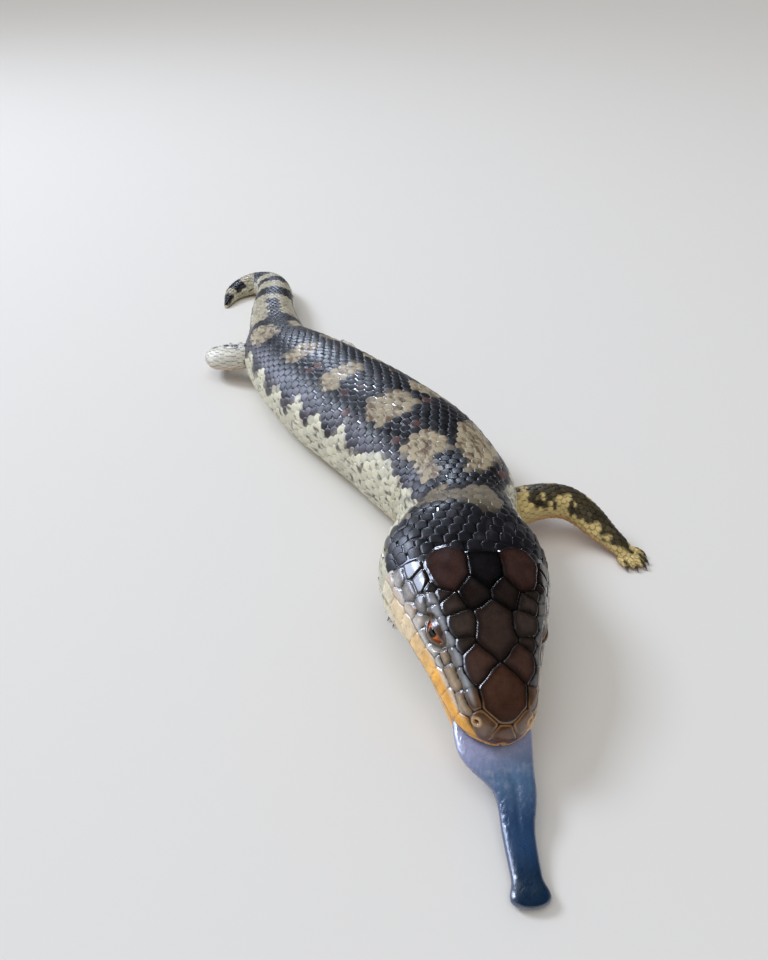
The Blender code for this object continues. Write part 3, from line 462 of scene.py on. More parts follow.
class Sheet:
    """A surface table with even spacing around, read at any place by smooth lookup."""

    def __init__(self, way: np.ndarray, rings: np.ndarray, around: np.ndarray, columns: int = 360) -> None:
        """Args:
            way: Distance along the surface in mm for each ring.
            rings: Points of each ring in metres, closed by the caller at 12.
            around: Place of each point around the ring.
            columns: How many even shares of the girth the table holds.
        """
        self.way = np.asarray(way, float)
        self.columns = columns
        steps = np.linalg.norm(np.diff(rings, axis=1), axis=2)
        length = np.concatenate([np.zeros((len(rings), 1)), np.cumsum(steps, 1)], 1)
        self.girth = length[:, -1] / MM
        share = np.linspace(0, 1, columns + 1)
        self.points = np.empty((len(rings), columns + 1, 3))
        self.around = np.empty((len(rings), columns + 1))
        for k, row in enumerate(length / length[:, -1:]):
            self.points[k] = np.stack([np.interp(share, row, rings[k, :, n]) for n in range(3)], 1)
            self.around[k] = np.interp(share, row, around)
        along = np.gradient(self.points, axis=0)
        wrapped = np.concatenate([self.points[:, -2:-1], self.points, self.points[:, 1:2]], 1)
        normal = unit(np.cross(along, wrapped[:, 2:] - wrapped[:, :-2]))
        middle = self.points.mean(1, keepdims=True)
        self.normals = normal * np.sign(((self.points - middle) * normal).sum(2).mean())

    def read(self, table: np.ndarray, way: np.ndarray, share: np.ndarray) -> np.ndarray:
        """Values of a table at distances along and shares of the girth."""
        rows = np.interp(way, self.way, np.arange(len(self.way)))
        row = np.clip(np.floor(rows).astype(int), 0, len(self.way) - 2)
        f = (rows - row)[..., None]
        columns = (np.asarray(share, float) % 1) * self.columns
        column = np.clip(np.floor(columns).astype(int), 0, self.columns - 1)
        g = (columns - column)[..., None]
        table = table if table.ndim == 3 else table[..., None]
        near = table[row, column] * (1 - g) + table[row, column + 1] * g
        far = table[row + 1, column] * (1 - g) + table[row + 1, column + 1] * g
        return near * (1 - f) + far * f

    def girth_at(self, way: np.ndarray) -> np.ndarray:
        """Girth in mm."""
        return np.interp(way, self.way, self.girth)


@dataclass(frozen=True)
class Blotch:
    """One pale patch: place in mm from the snout and around (minus on the right), half sizes, lean."""

    way: float
    around: float
    long: float
    wide: float
    lean: float = 0.0


class Colour(Enum):
    """Named colours, kept as sRGB codes."""

    @property
    def light(self) -> np.ndarray:
        """The colour in linear light."""
        return linear(self.value)


class Tone(Colour):
    """Colours of coat, skin, eyes, tongue and claws."""

    BACK, MAUVE, TAN, FLECK = "151415", "494247", "a09379", "5c452f"
    CREAM, DASH, RED, BELLY, TAIL = "cdc9b3", "38322d", "6b4233", "d3c28c", "aea68f"
    LEG, LEG_UNDER, LEG_DARK, HIND = "c2ad74", "cf924c", "1f1c19", "d2cfc3"
    NAPE, MOUTH, LIP_EDGE, ORBIT, LID_RIM = "17161a", "8c4a4c", "b57a3f", "4d3b31", "a8875f"
    # Two of these are painted highlights, not colours of the skin: the pale grey of a band along the upper
    # lip and the bluish grey of the canthal ridge.
    PLATE_RIM, AMBER, FLANK, CREST = "b07f4c", "d39a52", "cfcdc9", "b4bac4"
    SEAM, LIP_SEAM = "090808", "6e5238"
    NOSTRIL_RING, NOSTRIL, EAR = "c9a478", "5a2c14", "1a1010"
    IRIS, IRIS_RING, IRIS_EDGE, PUPIL, EYEBALL = "b8481f", "d98a3c", "180a06", "020202", "1a100c"
    TONGUE_ROOT, TONGUE_MIDDLE, TONGUE_BLUE, TONGUE_TIP = "9093b2", "4d6886", "233f62", "10283f"
    PAPILLA, TONGUE_RIM, CLAW_ROOT, CLAW_TIP = "a9aabf", "6f7696", "3a2f2a", "8d7f70"


@dataclass(frozen=True)
class Markings:
    """The pattern of the trunk and legs, read by skin and scales alike."""

    blotches: tuple[Blotch, ...] = tuple(Blotch(*row) for row in (
        (32.6, -0.85, 3.5, 0.5), (30.9, 0.35, 3.4, 0.5), (31.2, -0.25, 2.0, 0.5),
        (48.6, -0.55, 3.0, 0.62), (43.0, -0.95, 4.4, 0.38, 3.0), (46.6, 0.95, 5.2, 0.85, 4.0),
        (60.9, -0.43, 3.3, 0.68, 1.5), (62.5, 1.25, 3.2, 0.56, -3.0), (74.4, -0.42, 2.3, 0.72, 0.8),
        (76.5, 1.5, 2.4, 0.5, -3.0), (86.8, -0.48, 2.6, 0.64, 0.8), (90.0, 1.2, 2.3, 0.55, -2.0),
        (102.5, -0.9, 4.0, 0.75), (106.0, 1.0, 3.4, 0.6, 3.0), (119.5, -1.15, 7.6, 0.85),
        (120.5, 1.15, 7.0, 0.75), (127.5, 0.0, 1.8, 1.9), (137.5, 0.1, 2.6, 2.7), (146.5, -0.4, 2.4, 2.3),
        (155.0, 0.2, 2.0, 2.6), (161.5, 0.0, 1.2, 2.6),
    ))
    reds: tuple[Blotch, ...] = tuple(Blotch(*row) for row in (
        (80.2, -0.97, 0.7, 0.13), (79.9, -0.57, 0.7, 0.12), (69.2, -0.85, 0.7, 0.12),
        (68.4, -0.33, 0.8, 0.13), (68.7, 0.22, 0.7, 0.12), (65.5, -1.3, 0.7, 0.12),
        (52.6, -0.95, 0.7, 0.12), (54.0, -0.15, 0.7, 0.12), (58.9, 0.55, 0.6, 0.11),
        (71.0, 0.9, 0.7, 0.12), (84.0, 0.5, 0.7, 0.12), (40.0, 1.35, 1.0, 0.12),
    ))
    right_edge: tuple[tuple[float, float], ...] = (
        (20.0, 2.3), (24.0, 2.0), (27.5, 1.45), (31.0, 1.65), (38.4, 1.95), (44.2, 2.2), (47.8, 1.8),
        (51.8, 1.7), (56.5, 2.1), (61.5, 2.5), (64.3, 1.7), (67.1, 2.65), (70.6, 1.85), (74.0, 2.8),
        (77.0, 1.9), (80.2, 2.95), (82.9, 2.15), (87.2, 2.8), (91.2, 2.0), (95.0, 2.75), (99.0, 2.1),
        (103.5, 2.7), (113.0, 2.4), (125.0, 2.2), (166.0, 2.3),
    )
    left_edge: tuple[tuple[float, float], ...] = (
        (20.0, 2.3), (24.0, 2.0), (27.5, 1.35), (31.0, 1.42), (38.0, 1.65), (43.0, 1.85), (48.0, 2.2),
        (53.0, 2.45), (57.0, 2.0), (61.0, 2.6), (65.0, 1.9), (69.0, 2.7), (73.0, 2.0), (77.5, 2.75),
        (81.5, 2.0), (86.0, 2.8), (90.0, 2.1), (95.0, 2.75), (100.0, 2.1), (106.0, 2.6), (113.0, 2.4),
        (125.0, 2.2), (166.0, 2.3),
    )

    def inside(self, blotch: Blotch, way: np.ndarray, around: np.ndarray, rough: np.ndarray) -> np.ndarray:
        """Share with which each place lies in a blotch whose edge is roughened."""
        across = around - blotch.around
        along = (way - blotch.way - blotch.lean * across) / blotch.long
        reach = (np.abs(along) ** 3 + np.abs(across / blotch.wide) ** 3) ** (1 / 3) + rough
        return 1 - smooth(reach, 0.92, 1.04)

    def trunk(self, way: np.ndarray, around: np.ndarray, points: np.ndarray) -> np.ndarray:
        """Colour of places on the trunk, without streaks.

        Args:
            way: Distance in mm from the snout.
            around: Place around the section from 0 to 12.
            points: The same places in metres, for the noise.

        Returns:
            Linear colours.
        """
        around = np.where(around > TURN / 2, around - TURN, around)
        depth = np.abs(around)
        rough = 0.22 * noise(points, 1.7 * MM, 1) + 0.14 * noise(points, 0.7 * MM, 2)
        dusk = smooth(depth, 0.9, 2.0) * (0.6 + 0.8 * noise(points, 2.2 * MM, 3))
        colour = mixed(Tone.BACK.light, Tone.MAUVE.light, np.clip(dusk, 0, 1))
        rise = 0.10 * noise(points, 1.6 * MM, 4) + 0.10 * noise(points, 0.8 * MM, 10)
        edge = np.where(
            around < 0, *(keyed(way, *np.array(edge).T) for edge in (self.right_edge, self.left_edge)),
        ) + rise
        cream = smooth(depth - edge, -0.07, 0.07)
        pale, red = (
            np.max([self.inside(blotch, way, around, share * rough) for blotch in chosen], axis=0)
            for chosen, share in ((self.blotches, 1.0), (self.reds, 0.5))
        )
        tan = mixed(Tone.TAN.light, Tone.TAIL.light, smooth(way, 96, 118))
        tan = mixed(tan, Tone.CREAM.light, 0.6 * smooth(depth, 1.2, 2.2))
        tan = mixed(0.5 * tan, tan, smooth(way, 33.0, 39.0))
        colour = mixed(colour, Tone.RED.light, 0.6 * red)
        colour = mixed(colour, tan, pale)
        under = mixed(Tone.CREAM.light, Tone.BELLY.light, smooth(depth, 3.4, 4.8))
        return mixed(colour, under, cream)

    def streaked(self, colour: np.ndarray, way: np.ndarray, around: np.ndarray) -> np.ndarray:
        """Adds the streaks that run along the body: brown in tan, dark dashes in cream, grey in black."""
        depth = depth_of(around)
        run = np.stack([way / 1.8, np.where(around > TURN / 2, around - TURN, around) * 5.0, 0 * way], -1)
        light = smooth(colour.mean(-1), 0.10, 0.26)
        cream = smooth(colour.mean(-1), 0.33, 0.45)
        fine = noise(run, 0.55, 5) + 0.5 * noise(run, 0.27, 6)
        brown = smooth(fine, 0.05, 0.6) * light * (1 - cream) * (1 - 0.5 * smooth(way, 108, 125))
        dashes = smooth(noise(run * np.array((1.1, 1.0, 1.0)), 0.6, 9), 0.42, 0.7)
        dashes *= cream * (1 - 0.8 * smooth(depth, 3.0, 4.4))
        grey = smooth(-fine, 0.2, 0.9) * (1 - light)
        colour = mixed(colour, Tone.FLECK.light, 0.85 * brown)
        colour = mixed(colour, Tone.MAUVE.light, 0.35 * grey)
        return mixed(colour, Tone.DASH.light, 0.85 * dashes)

    def limb(self, fore: bool, at: np.ndarray, around: np.ndarray, points: np.ndarray) -> np.ndarray:
        """Colour of places on a leg; `at` counts its joints from the root, toes are past 2."""
        depth = depth_of(around)
        base = Tone.LEG.light if fore else Tone.HIND.light
        under = Tone.LEG_UNDER.light if fore else mixed(Tone.HIND.light, Tone.LEG_UNDER.light, np.array(0.35))
        colour = mixed(base, under, smooth(depth, 3.0, 4.4))
        patches = noise(points, 1.5 * MM, 7) + 0.8 * noise(points, 0.6 * MM, 8)
        bias = (0.6 if fore else 0.1) - 0.62 * depth + 0.5 * smooth(at, 1.9, 2.4) * fore
        dark = smooth(patches + bias, 0.0, 0.3)
        return mixed(colour, Tone.LEG_DARK.light, 0.92 * dark)


class Tint(Colour):
    """Colours of the head's plates; COAT marks where body scales take over."""

    ROSTRAL, NASAL, FRONT, BEFORE_EYES = "5d381f", "6f523c", "452c20", "432e26"
    FRONTAL, BLACK, BEHIND_FRONTAL, PARIETAL = "352822", "151213", "231a17", "3a2621"
    # The loreal, temple and under-eye tints are lighter and greyer than those plates' own colour: part
    # pigment, part painted sheen for the sky's reflection on those slopes.
    OVER_EYE, BROW, LOREAL, TEMPLE = "3c312b", "7b736c", "b59b7c", "948d89"
    TEMPLE_DARK, UNDER_EYE, TEMPLE_LOW, LIP_FRONT = "352b28", "d2cac0", "cbb29a", "eaa62c"
    LIP_PALE, LIP_MIDDLE, LIP_REAR, LIP_CORNER = "e6b15c", "e6be80", "dfc8a0", "d6cbae"
    CHIN, COAT = "d2bf8c", "17161a"


@dataclass(frozen=True)
class Shield:
    """One plate of the head: place in mm and around, reach in mm, half its run along the head, colour."""

    way: float
    around: float
    size: float
    run: float
    tint: Tint


# Plates by colour: way from the snout in mm, place around, reach and half the run in mm
MIDDLE_SHIELDS = {
    Tint.ROSTRAL: ((0.12, 0.0, 1.5, 0.0),),
    Tint.FRONT: ((3.4, 0.0, 2.65, 0.4),),
    Tint.FRONTAL: ((9.8, 0.0, 2.2, 1.1),),
    Tint.BLACK: ((17.1, 0.0, 1.35, 0.9),),
    Tint.COAT: ((21.2, 0.0, 1.0, 0.0), (15.4, 6.0, 1.9, 0.0)),
    Tint.LIP_FRONT: ((0.5, 6.0, 1.6, 0.0),),
    Tint.CHIN: ((4.3, 6.0, 1.9, 0.0),),
}
# The same for those that come in pairs, on the left
SIDE_SHIELDS = {
    Tint.NASAL: ((1.2, 1.35, 1.5, 0.0), (3.3, 1.25, 0.8, 0.3)),
    Tint.BEFORE_EYES: ((6.2, 0.6, 1.85, 0.3),),
    Tint.BEHIND_FRONTAL: ((14.1, 0.3, 1.6, 0.2),),
    Tint.PARIETAL: ((17.4, 0.66, 2.15, 0.8),),
    Tint.OVER_EYE: (
        (8.2, 0.86, 1.1, 0.0), (10.5, 0.7, 1.7, 0.0), (12.7, 0.74, 1.35, 0.0), (14.3, 0.88, 1.0, 0.0),
    ),
    Tint.BROW: (
        (7.3, 1.27, 0.75, 0.6), (9.2, 1.23, 0.7, 0.55), (10.9, 1.19, 0.7, 0.5), (12.5, 1.2, 0.7, 0.5),
        (14.0, 1.17, 0.8, 0.3), (5.3, 1.25, 0.75, 0.6),
    ),
    Tint.TEMPLE_DARK: ((15.4, 1.08, 0.95, 0.0), (16.6, 1.3, 1.25, 0.2), (18.4, 1.42, 1.25, 0.3)),
    Tint.LOREAL: ((3.4, 1.75, 1.0, 0.5), (5.8, 1.68, 1.0, 0.7), (7.8, 1.65, 0.75, 0.2)),
    Tint.TEMPLE: ((14.4, 1.58, 1.05, 0.0), (16.4, 1.75, 1.3, 0.3), (18.6, 1.88, 1.3, 0.3)),
    Tint.TEMPLE_LOW: ((14.6, 1.98, 1.0, 0.3), (17.0, 2.15, 1.1, 0.4), (19.4, 2.2, 1.0, 0.3)),
    Tint.UNDER_EYE: (
        (7.9, 1.98, 0.7, 0.3), (9.3, 2.0, 0.75, 0.4), (11.1, 2.0, 0.8, 0.4), (12.8, 1.95, 0.8, 0.4),
    ),
    Tint.LIP_FRONT: (
        (2.0, 2.45, 1.3, 0.2), (4.3, 2.45, 1.4, 0.4), (6.5, 2.42, 1.45, 0.4), (1.8, 3.6, 1.3, 0.3),
        (4.2, 3.5, 1.35, 0.4),
    ),
    Tint.LIP_PALE: ((8.8, 2.5, 1.35, 0.4), (6.8, 3.45, 1.35, 0.4)),
    Tint.LIP_MIDDLE: ((11.1, 2.54, 1.35, 0.4), (9.4, 3.42, 1.35, 0.4)),
    Tint.LIP_REAR: (
        (13.4, 2.52, 1.4, 0.4), (15.9, 2.58, 1.4, 0.5), (12.0, 3.4, 1.4, 0.5), (14.8, 3.4, 1.4, 0.5),
    ),
    Tint.LIP_CORNER: ((18.5, 2.62, 1.35, 0.5), (17.6, 3.5, 1.4, 0.5)),
    Tint.CHIN: (
        (4.6, 4.7, 2.0, 0.0), (8.2, 4.6, 2.0, 0.0), (8.0, 5.5, 1.9, 0.0), (11.4, 5.5, 1.9, 0.0),
        (11.8, 4.6, 2.0, 0.0),
    ),
    Tint.COAT: (
        (22.6, 0.36, 1.3, 0.0), (22.3, 0.72, 1.3, 0.0), (20.7, 1.08, 1.1, 0.0), (20.4, 1.36, 1.1, 0.0),
        (20.7, 1.75, 1.2, 0.0), (21.4, 2.2, 1.3, 0.0), (21.4, 2.75, 1.5, 0.0), (20.6, 3.35, 1.5, 0.0),
        (19.0, 4.1, 1.6, 0.0), (16.0, 4.5, 1.7, 0.0), (14.9, 5.2, 1.8, 0.0),
    ),
}


@dataclass
class Plates:
    """The head's shields as cells of a power diagram around their middles."""

    head: HeadForm = field(default_factory=HeadForm)
    eye_way: float = 10.7
    eye_around: float = 1.6
    eye_space: float = 1.4
    seam: float = 0.075
    depth: float = 0.10
    rise: float = 0.07
    dome: float = 0.05

    def __post_init__(self) -> None:
        """Lays out the seeds; a long plate has three in a row, and the eyes' cells come last."""
        middle, side = (
            [Shield(*row, tint) for tint, table in rows.items() for row in table]
            for rows in (MIDDLE_SHIELDS, SIDE_SHIELDS)
        )
        side.append(Shield(self.eye_way, self.eye_around, self.eye_space, 0.0, Tint.BROW))
        rows = [(each, each.around) for each in middle]
        rows += [(each, around) for each in side for around in (each.around, TURN - each.around)]
        self.tints = np.array([each.tint.light for each, _ in rows])
        self.coats = np.array([each.tint is Tint.COAT for each, _ in rows])
        seeds = [
            (number, self.head.place(each.way + step, around)[0], each.size)
            for number, (each, around) in enumerate(rows)
            for step in ((-each.run, 0.0, each.run) if each.run else (0.0,))
        ]
        self.owner = np.array([number for number, _, _ in seeds])
        self.places = np.array([place for _, place, _ in seeds])
        self.sizes = np.array([size for _, _, size in seeds])

    def powers(self, points: np.ndarray) -> np.ndarray:
        """Squared distance less squared reach of each point in mm to every seed; the seams waver a little."""
        waver = np.stack([noise(points, 1.1, seed) for seed in (51, 52, 53)], -1)
        points = points + 0.13 * waver
        squares = (points**2).sum(1)[:, None] - 2 * points @ self.places.T + (self.places**2).sum(1)[None]
        return squares - self.sizes[None] ** 2

    def read(self, points: np.ndarray) -> tuple[np.ndarray, np.ndarray, np.ndarray]:
        """Cell, distance to the nearest seam in mm and share out from the middle of each point in mm."""
        gaps = np.linalg.norm(self.places[:, None] - self.places[None], axis=2)
        np.fill_diagonal(gaps, np.inf)
        power = self.powers(points)
        seed = power.argmin(1)
        rows = np.arange(len(points))
        own = power[rows, seed]
        edge = (power - own[:, None]) / (2 * gaps[seed])
        edge[self.owner[seed][:, None] == self.owner[None]] = np.inf
        edge.sort(axis=1)
        nearest = edge[:, 0] - 0.35 * np.maximum(0, 0.22 - (edge[:, 1] - edge[:, 0])) ** 2 / 0.22
        out = np.sqrt(np.maximum(own + self.sizes[seed] ** 2, 0)) / self.sizes[seed]
        return self.owner[seed], nearest, out

    def coated(self, points: np.ndarray) -> np.ndarray:
        """Distance in mm of each point in mm into the coat; less than nothing on the plates."""
        power = self.powers(points)
        coat = self.coats[self.owner]
        plate_power, coat_power = power[:, ~coat], power[:, coat]
        plate, scale = plate_power.argmin(1), coat_power.argmin(1)
        gap = np.linalg.norm(self.places[~coat][plate] - self.places[coat][scale], axis=1)
        rows = np.arange(len(points))
        return (plate_power[rows, plate] - coat_power[rows, scale]) / (2 * np.maximum(gap, 0.5))


def grid_faces(rings: int, sides: int, flip: bool = False, first: int = 0) -> np.ndarray:
    """Triangles between neighbouring rings of a grid whose numbering starts at `first`."""
    ring = np.arange(rings - 1)[:, None] * sides
    side = np.arange(sides - 1)[None, :]
    a, b, c, d = ring + side, ring + side + 1, ring + sides + side + 1, ring + sides + side
    faces = np.concatenate([np.stack([a, b, c], -1).reshape(-1, 3), np.stack([a, c, d], -1).reshape(-1, 3)])
    return first + (faces[:, ::-1] if flip else faces)


def vertex_normals(points: np.ndarray, faces: np.ndarray) -> np.ndarray:
    """Unit normals of a mesh's points, weighted by the areas of their faces."""
    corners = points[faces]
    flat = np.cross(corners[:, 1] - corners[:, 0], corners[:, 2] - corners[:, 0])
    total = np.stack([
        np.bincount(faces.ravel(), np.repeat(flat[:, k], 3), minlength=len(points)) for k in range(3)
    ], 1)
    return unit(total)


def linked(name: str, data: bpy.types.ID) -> bpy.types.Object:
    """A new object in the scene."""
    made = bpy.data.objects.new(name, data)
    bpy.context.scene.collection.objects.link(made)
    return made


def make_object(
    name: str, points: np.ndarray, faces: np.ndarray, finish: bpy.types.Material,
    tint: np.ndarray | None = None, plan: np.ndarray | None = None,
) -> bpy.types.Object:
    """A smooth mesh object with vertex colours and its own unwrap.

    Args:
        name: Name of the piece.
        points: Points in metres.
        faces: Triangles.
        finish: Its material.
        tint: Linear colour of each point.
        plan: Unwrap of each corner, as faces by 3 by 2.

    Returns:
        The object, linked to the scene.
    """
    mesh = bpy.data.meshes.new(name)
    mesh.from_pydata(points, [], faces)
    mesh.polygons.foreach_set("use_smooth", np.ones(len(faces), bool))
    if tint is not None:
        colours = np.concatenate([tint, np.ones((len(tint), 1))], 1).astype(np.float32)
        mesh.attributes.new("tint", "FLOAT_COLOR", "POINT").data.foreach_set("color", colours.ravel())
    if plan is not None:
        mesh.uv_layers.new(name="OFBake").data.foreach_set("uv", plan.astype(np.float32).ravel())
    mesh.materials.append(finish)
    mesh.update()
    return linked(name, mesh)


def limb_plan(number: int, along: np.ndarray, across: np.ndarray) -> np.ndarray:
    """Place on the unwrap of shares along and across the strip of one leg or toe."""
    corner = STRIP_CORNER + STRIP_STEP * (number % STRIPS, number // STRIPS)
    return corner + np.stack([along, across], -1) * STRIP_SIZE


@dataclass
class Draft:
    """Grids of a mesh before they are welded, with what each point carries."""

    points: list[np.ndarray] = field(default_factory=list)
    carried: list[np.ndarray] = field(default_factory=list)
    faces: list[np.ndarray] = field(default_factory=list)
    count: int = 0

    def add(self, points: np.ndarray, carried: np.ndarray, faces: np.ndarray) -> int:
        """Adds points with their carried values and faces numbered from 0; returns the first number."""
        first = self.count
        self.points.append(points.reshape(-1, 3))
        self.carried.append(carried.reshape(len(self.points[-1]), -1))
        self.faces.append(faces + first)
        self.count += len(self.points[-1])
        return first

    def welded(self) -> tuple[np.ndarray, np.ndarray, np.ndarray, np.ndarray]:
        """Points, carried values, welded faces and the same faces as drawn, without flat ones."""
        points, carried = np.concatenate(self.points), np.concatenate(self.carried)
        drawn = np.concatenate(self.faces)
        _, first, place = np.unique(np.round(points / MM, 5), axis=0, return_index=True, return_inverse=True)
        faces = place.reshape(-1)[drawn]
        kept = (faces[:, 0] != faces[:, 1]) & (faces[:, 1] != faces[:, 2]) & (faces[:, 2] != faces[:, 0])
        return points[first], carried[first], faces[kept], drawn[kept]


def welded_object(
    name: str, grids: list[tuple[np.ndarray, np.ndarray, np.ndarray]], finish: bpy.types.Material,
    flip: bool = False,
) -> bpy.types.Object:
    """One closed piece welded from grids.

    Args:
        name: Name of the piece.
        grids: Points in metres, their linear colours and their places on the unwrap.
        finish: Its material.
        flip: Whether the grids' faces are turned round, to point outwards.

    Returns:
        The object.
    """
    draft = Draft()
    for points, colour, plan in grids:
        carried = np.concatenate([colour.reshape(-1, 3), plan.reshape(-1, 2)], 1)
        draft.add(points, carried, grid_faces(*points.shape[:2], flip=flip))
    plan = np.concatenate(draft.carried)[:, 3:]
    points, carried, faces, drawn = draft.welded()
    return make_object(name, points, faces, finish, carried[:, :3], plan[drawn])


class Part(Enum):
    """What a point of the skin belongs to."""

    HEAD = 0
    MOUTH = 1
    TRUNK = 2
    LIMB = 3


@dataclass
class Skin:
    """The one closed skin: head with open mouth, neck, body, tail and legs."""

    trunk: TrunkForm
    plates: Plates
    markings: Markings
    spacing: float = 0.15
    over: int = 224
    under: int = 68
    mouth: int = 24
    lip_round: float = 0.32
    typical: float = 15.0
    unwrap_height: float = 0.84
    lining_corner: float = 0.87
    body_steps: tuple[tuple[float, float, int], ...] = ((27.0, 40.0, 24), (40.0, 165.8, 130))
    draft: Draft = field(default_factory=Draft)

    def ways(self, last: float) -> np.ndarray:
        """Distances of even steps over the head's surface up to `last` in mm."""
        head = self.trunk.head
        fine = head.rounding * (1 - np.cos(np.linspace(0, math.pi / 2, 3000)))
        fine = np.append(fine, np.linspace(head.rounding, last, 4000)[1:])
        lines = head.points(fine[:, None], np.array((0.0, 2.0, 3.0)))
        length = np.linalg.norm(np.diff(lines, axis=0), axis=2).mean(1)
        length = np.append(0, np.cumsum(length))
        steps = np.linspace(0, length[-1], round(length[-1] / self.spacing))
        return np.interp(steps, length, fine)

    def even(self, start: float, stop: float, count: int) -> np.ndarray:
        """Shares from 0 to 1 that space `count` places evenly over part of a typical section."""
        line = np.linspace(start, stop, 800)
        length = measured(self.trunk.head.points(self.typical, line % TURN))
        return (np.interp(np.linspace(0, length[-1], count), length, line) - start) / (stop - start)

    def add_rings(self, way: np.ndarray, around: np.ndarray, below: np.ndarray, lip: np.ndarray) -> None:
        """Adds rows of the head's outside, given the place of each point around."""
        head = self.trunk.head
        closed = head.points(way[:, None], around % TURN)
        world = head.world(head.opened(closed, around % TURN, below))
        carried = self.carry(Part.HEAD, way, around, closed, lip, self.outside_plan(way[:, None], around))
        self.draft.add(world, carried, grid_faces(*around.shape, flip=True))

    def carry(
        self, part: Part, way: np.ndarray, around: np.ndarray | float, closed: np.ndarray | float,
        lip: np.ndarray | float, plan: np.ndarray,
    ) -> np.ndarray:
        """What the points of a grid carry.

        Args:
            part: What they belong to.
            way: Distance along the form for each ring.
            around: Place around.
            closed: Place in mm in the frame of the closed head.
            lip: Distance from the lips in mm.
            plan: Place on the unwrap, which also gives the grid's shape.

        Returns:
            These values side by side for each point.
        """
        shape = plan.shape[:2]
        head_place = np.moveaxis(np.broadcast_to(closed, (*shape, 3)), -1, 0)
        columns = (way[:, None], around, *head_place, lip, part.value, plan[..., 0], plan[..., 1])
        return np.stack([np.broadcast_to(each, shape) for each in columns], -1)

    def outside_plan(self, way: np.ndarray, around: np.ndarray) -> np.ndarray:
        """Place on the skin's own unwrap."""
        way, around = np.broadcast_arrays(way, around)
        return np.stack([way / UNWRAPPED, (around + 9.6) / 12.8 * self.unwrap_height], -1)

    def add_head(self) -> None:
        """Adds the head with its open mouth."""
        head = self.trunk.head
        way = self.ways(head.mouth_end)
        edge = head.mouth_around(way)[:, None]
        upper = edge - 2 * edge * self.even(3.0, -3.0, self.over + 1)[None]
        lower = -edge - (TURN - 2 * edge) * self.even(-3.0, -9.0, self.under + 1)[None]
        for around, below in ((upper, 0.0), (lower, 1.0)):
            rows = head.points(way[:, None], around % TURN)
            lip = np.minimum(*(np.linalg.norm(rows - end, axis=2) for end in (rows[:, :1], rows[:, -1:])))
            self.add_rings(way, around, np.full(around.shape, below), lip)
            self.add_lining(way, rows, below)
        behind = self.ways(head.length)
        behind = np.append(head.mouth_end, behind[behind > head.mouth_end + 0.08])
        corner = np.append(upper[-1], lower[-1, 1:])
        around = np.broadcast_to(corner, (len(behind), len(corner)))
        full_below = np.zeros(around.shape)
        full_below[:, self.over + 1:-1] = 1.0
        self.add_rings(behind, around, full_below, np.full(around.shape, FAR))
        self.add_body(corner)

    def add_lining(self, way: np.ndarray, rows: np.ndarray, below: float) -> None:
        """Adds the roof or floor of the mouth between the two edges of the lips."""
        head = self.trunk.head
        first, last = (rows[:, 0], rows[:, -1]) if below == 0 else (rows[:, -1], rows[:, 0])
        share = 0.5 * (1 - np.cos(np.pi * np.arange(self.mouth + 1) / self.mouth))
        flat = first[:, None] * (1 - share)[None, :, None] + last[:, None] * share[None, :, None]
        inset = np.linalg.norm(first - last, axis=1)[:, None] * np.minimum(share, 1 - share)[None]
        fade = 1 - smooth(way, 14.5, head.mouth_end)
        space = 1.15 if below == 0 else 0.95
        room = np.abs(rows[:, rows.shape[1] // 2, 2] - first[:, 2]) * 0.42
        lift = (np.minimum(space, room) * fade)[:, None] * smooth(inset, 0.3, 1.5)
        flat[..., 2] += lift if below == 0 else -lift
        turned = head.opened(flat, np.full(flat.shape[:2], 4.6), np.full(flat.shape[:2], below))
        strip = self.lining_corner + 0.06 * below + share * 0.05
        plan = np.stack(np.broadcast_arrays(way[:, None] / UNWRAPPED, strip), -1)
        carried = self.carry(Part.MOUTH, way, 3.0, flat, inset, plan)
        self.draft.add(head.world(turned), carried, grid_faces(*flat.shape[:2], flip=below > 0))

    def add_body(self, corner: np.ndarray) -> None:
        """Adds neck, body and tail behind the head, in rings that halve their count twice."""
        around, rows = corner, None
        for start, stop, steps in self.body_steps:
            ring = self.trunk.rings(np.full(1, start), around % TURN)
            even = np.arange(0, len(around) - 2, 2)[:, None]
            self.add_plain(np.full(1, start), around, ring, even + np.array((2, 1, 0)))
            around = around[::2]
            way = np.linspace(start, stop, steps)
            rows = self.trunk.rings(way, around % TURN)
            self.add_plain(way, around, rows, grid_faces(steps, len(around), flip=True))
        sides = len(around)
        fan = np.stack([np.full(sides - 1, sides), np.arange(1, sides), np.arange(sides - 1)], -1)
        rows = np.concatenate([rows[-1], rows[-1].mean(0)[None]])[None]
        self.add_plain(np.full(1, self.body_steps[-1][1]), np.append(around, around[0]), rows, fan)

    def add_plain(self, way: np.ndarray, around: np.ndarray, rows: np.ndarray, faces: np.ndarray) -> None:
        """Adds rows of the trunk behind the head."""
        plan = self.outside_plan(way[:, None], np.broadcast_to(around, rows.shape[:2]))
        self.draft.add(rows, self.carry(Part.TRUNK, way, around, 0.0, FAR, plan), faces)

    def add_limb(self, number: int, fore: bool, form: LimbForm) -> None:
        """Adds one closed tube of a leg with its palm, or of a toe.

        Args:
            number: Which strip of the unwrap it takes.
            fore: Whether it is part of a foreleg.
            form: The tube's surface.
        """
        at = np.linspace(form.keys[0], form.keys[-1], form.steps)
        around = np.linspace(0, TURN, form.sides + 1)
        rows = form.rings(at, around)
        rows[:, -1] = rows[:, 0]
        ends = [rows[k:k + 1, :-1].mean(1, keepdims=True) + 0 * rows[:1] for k in (0, len(rows) - 1)]
        rows = np.concatenate([ends[0], rows, ends[1]])
        at = np.concatenate([at[:1], at, at[-1:]])
        plan = limb_plan(number, *np.broadcast_arrays(at[:, None] / form.keys[-1], around[None] / TURN))
        carried = self.carry(Part.LIMB, at, around + FORE_MARK * fore, 0.0, FAR, plan)
        self.draft.add(rows, carried, grid_faces(*rows.shape[:2]))

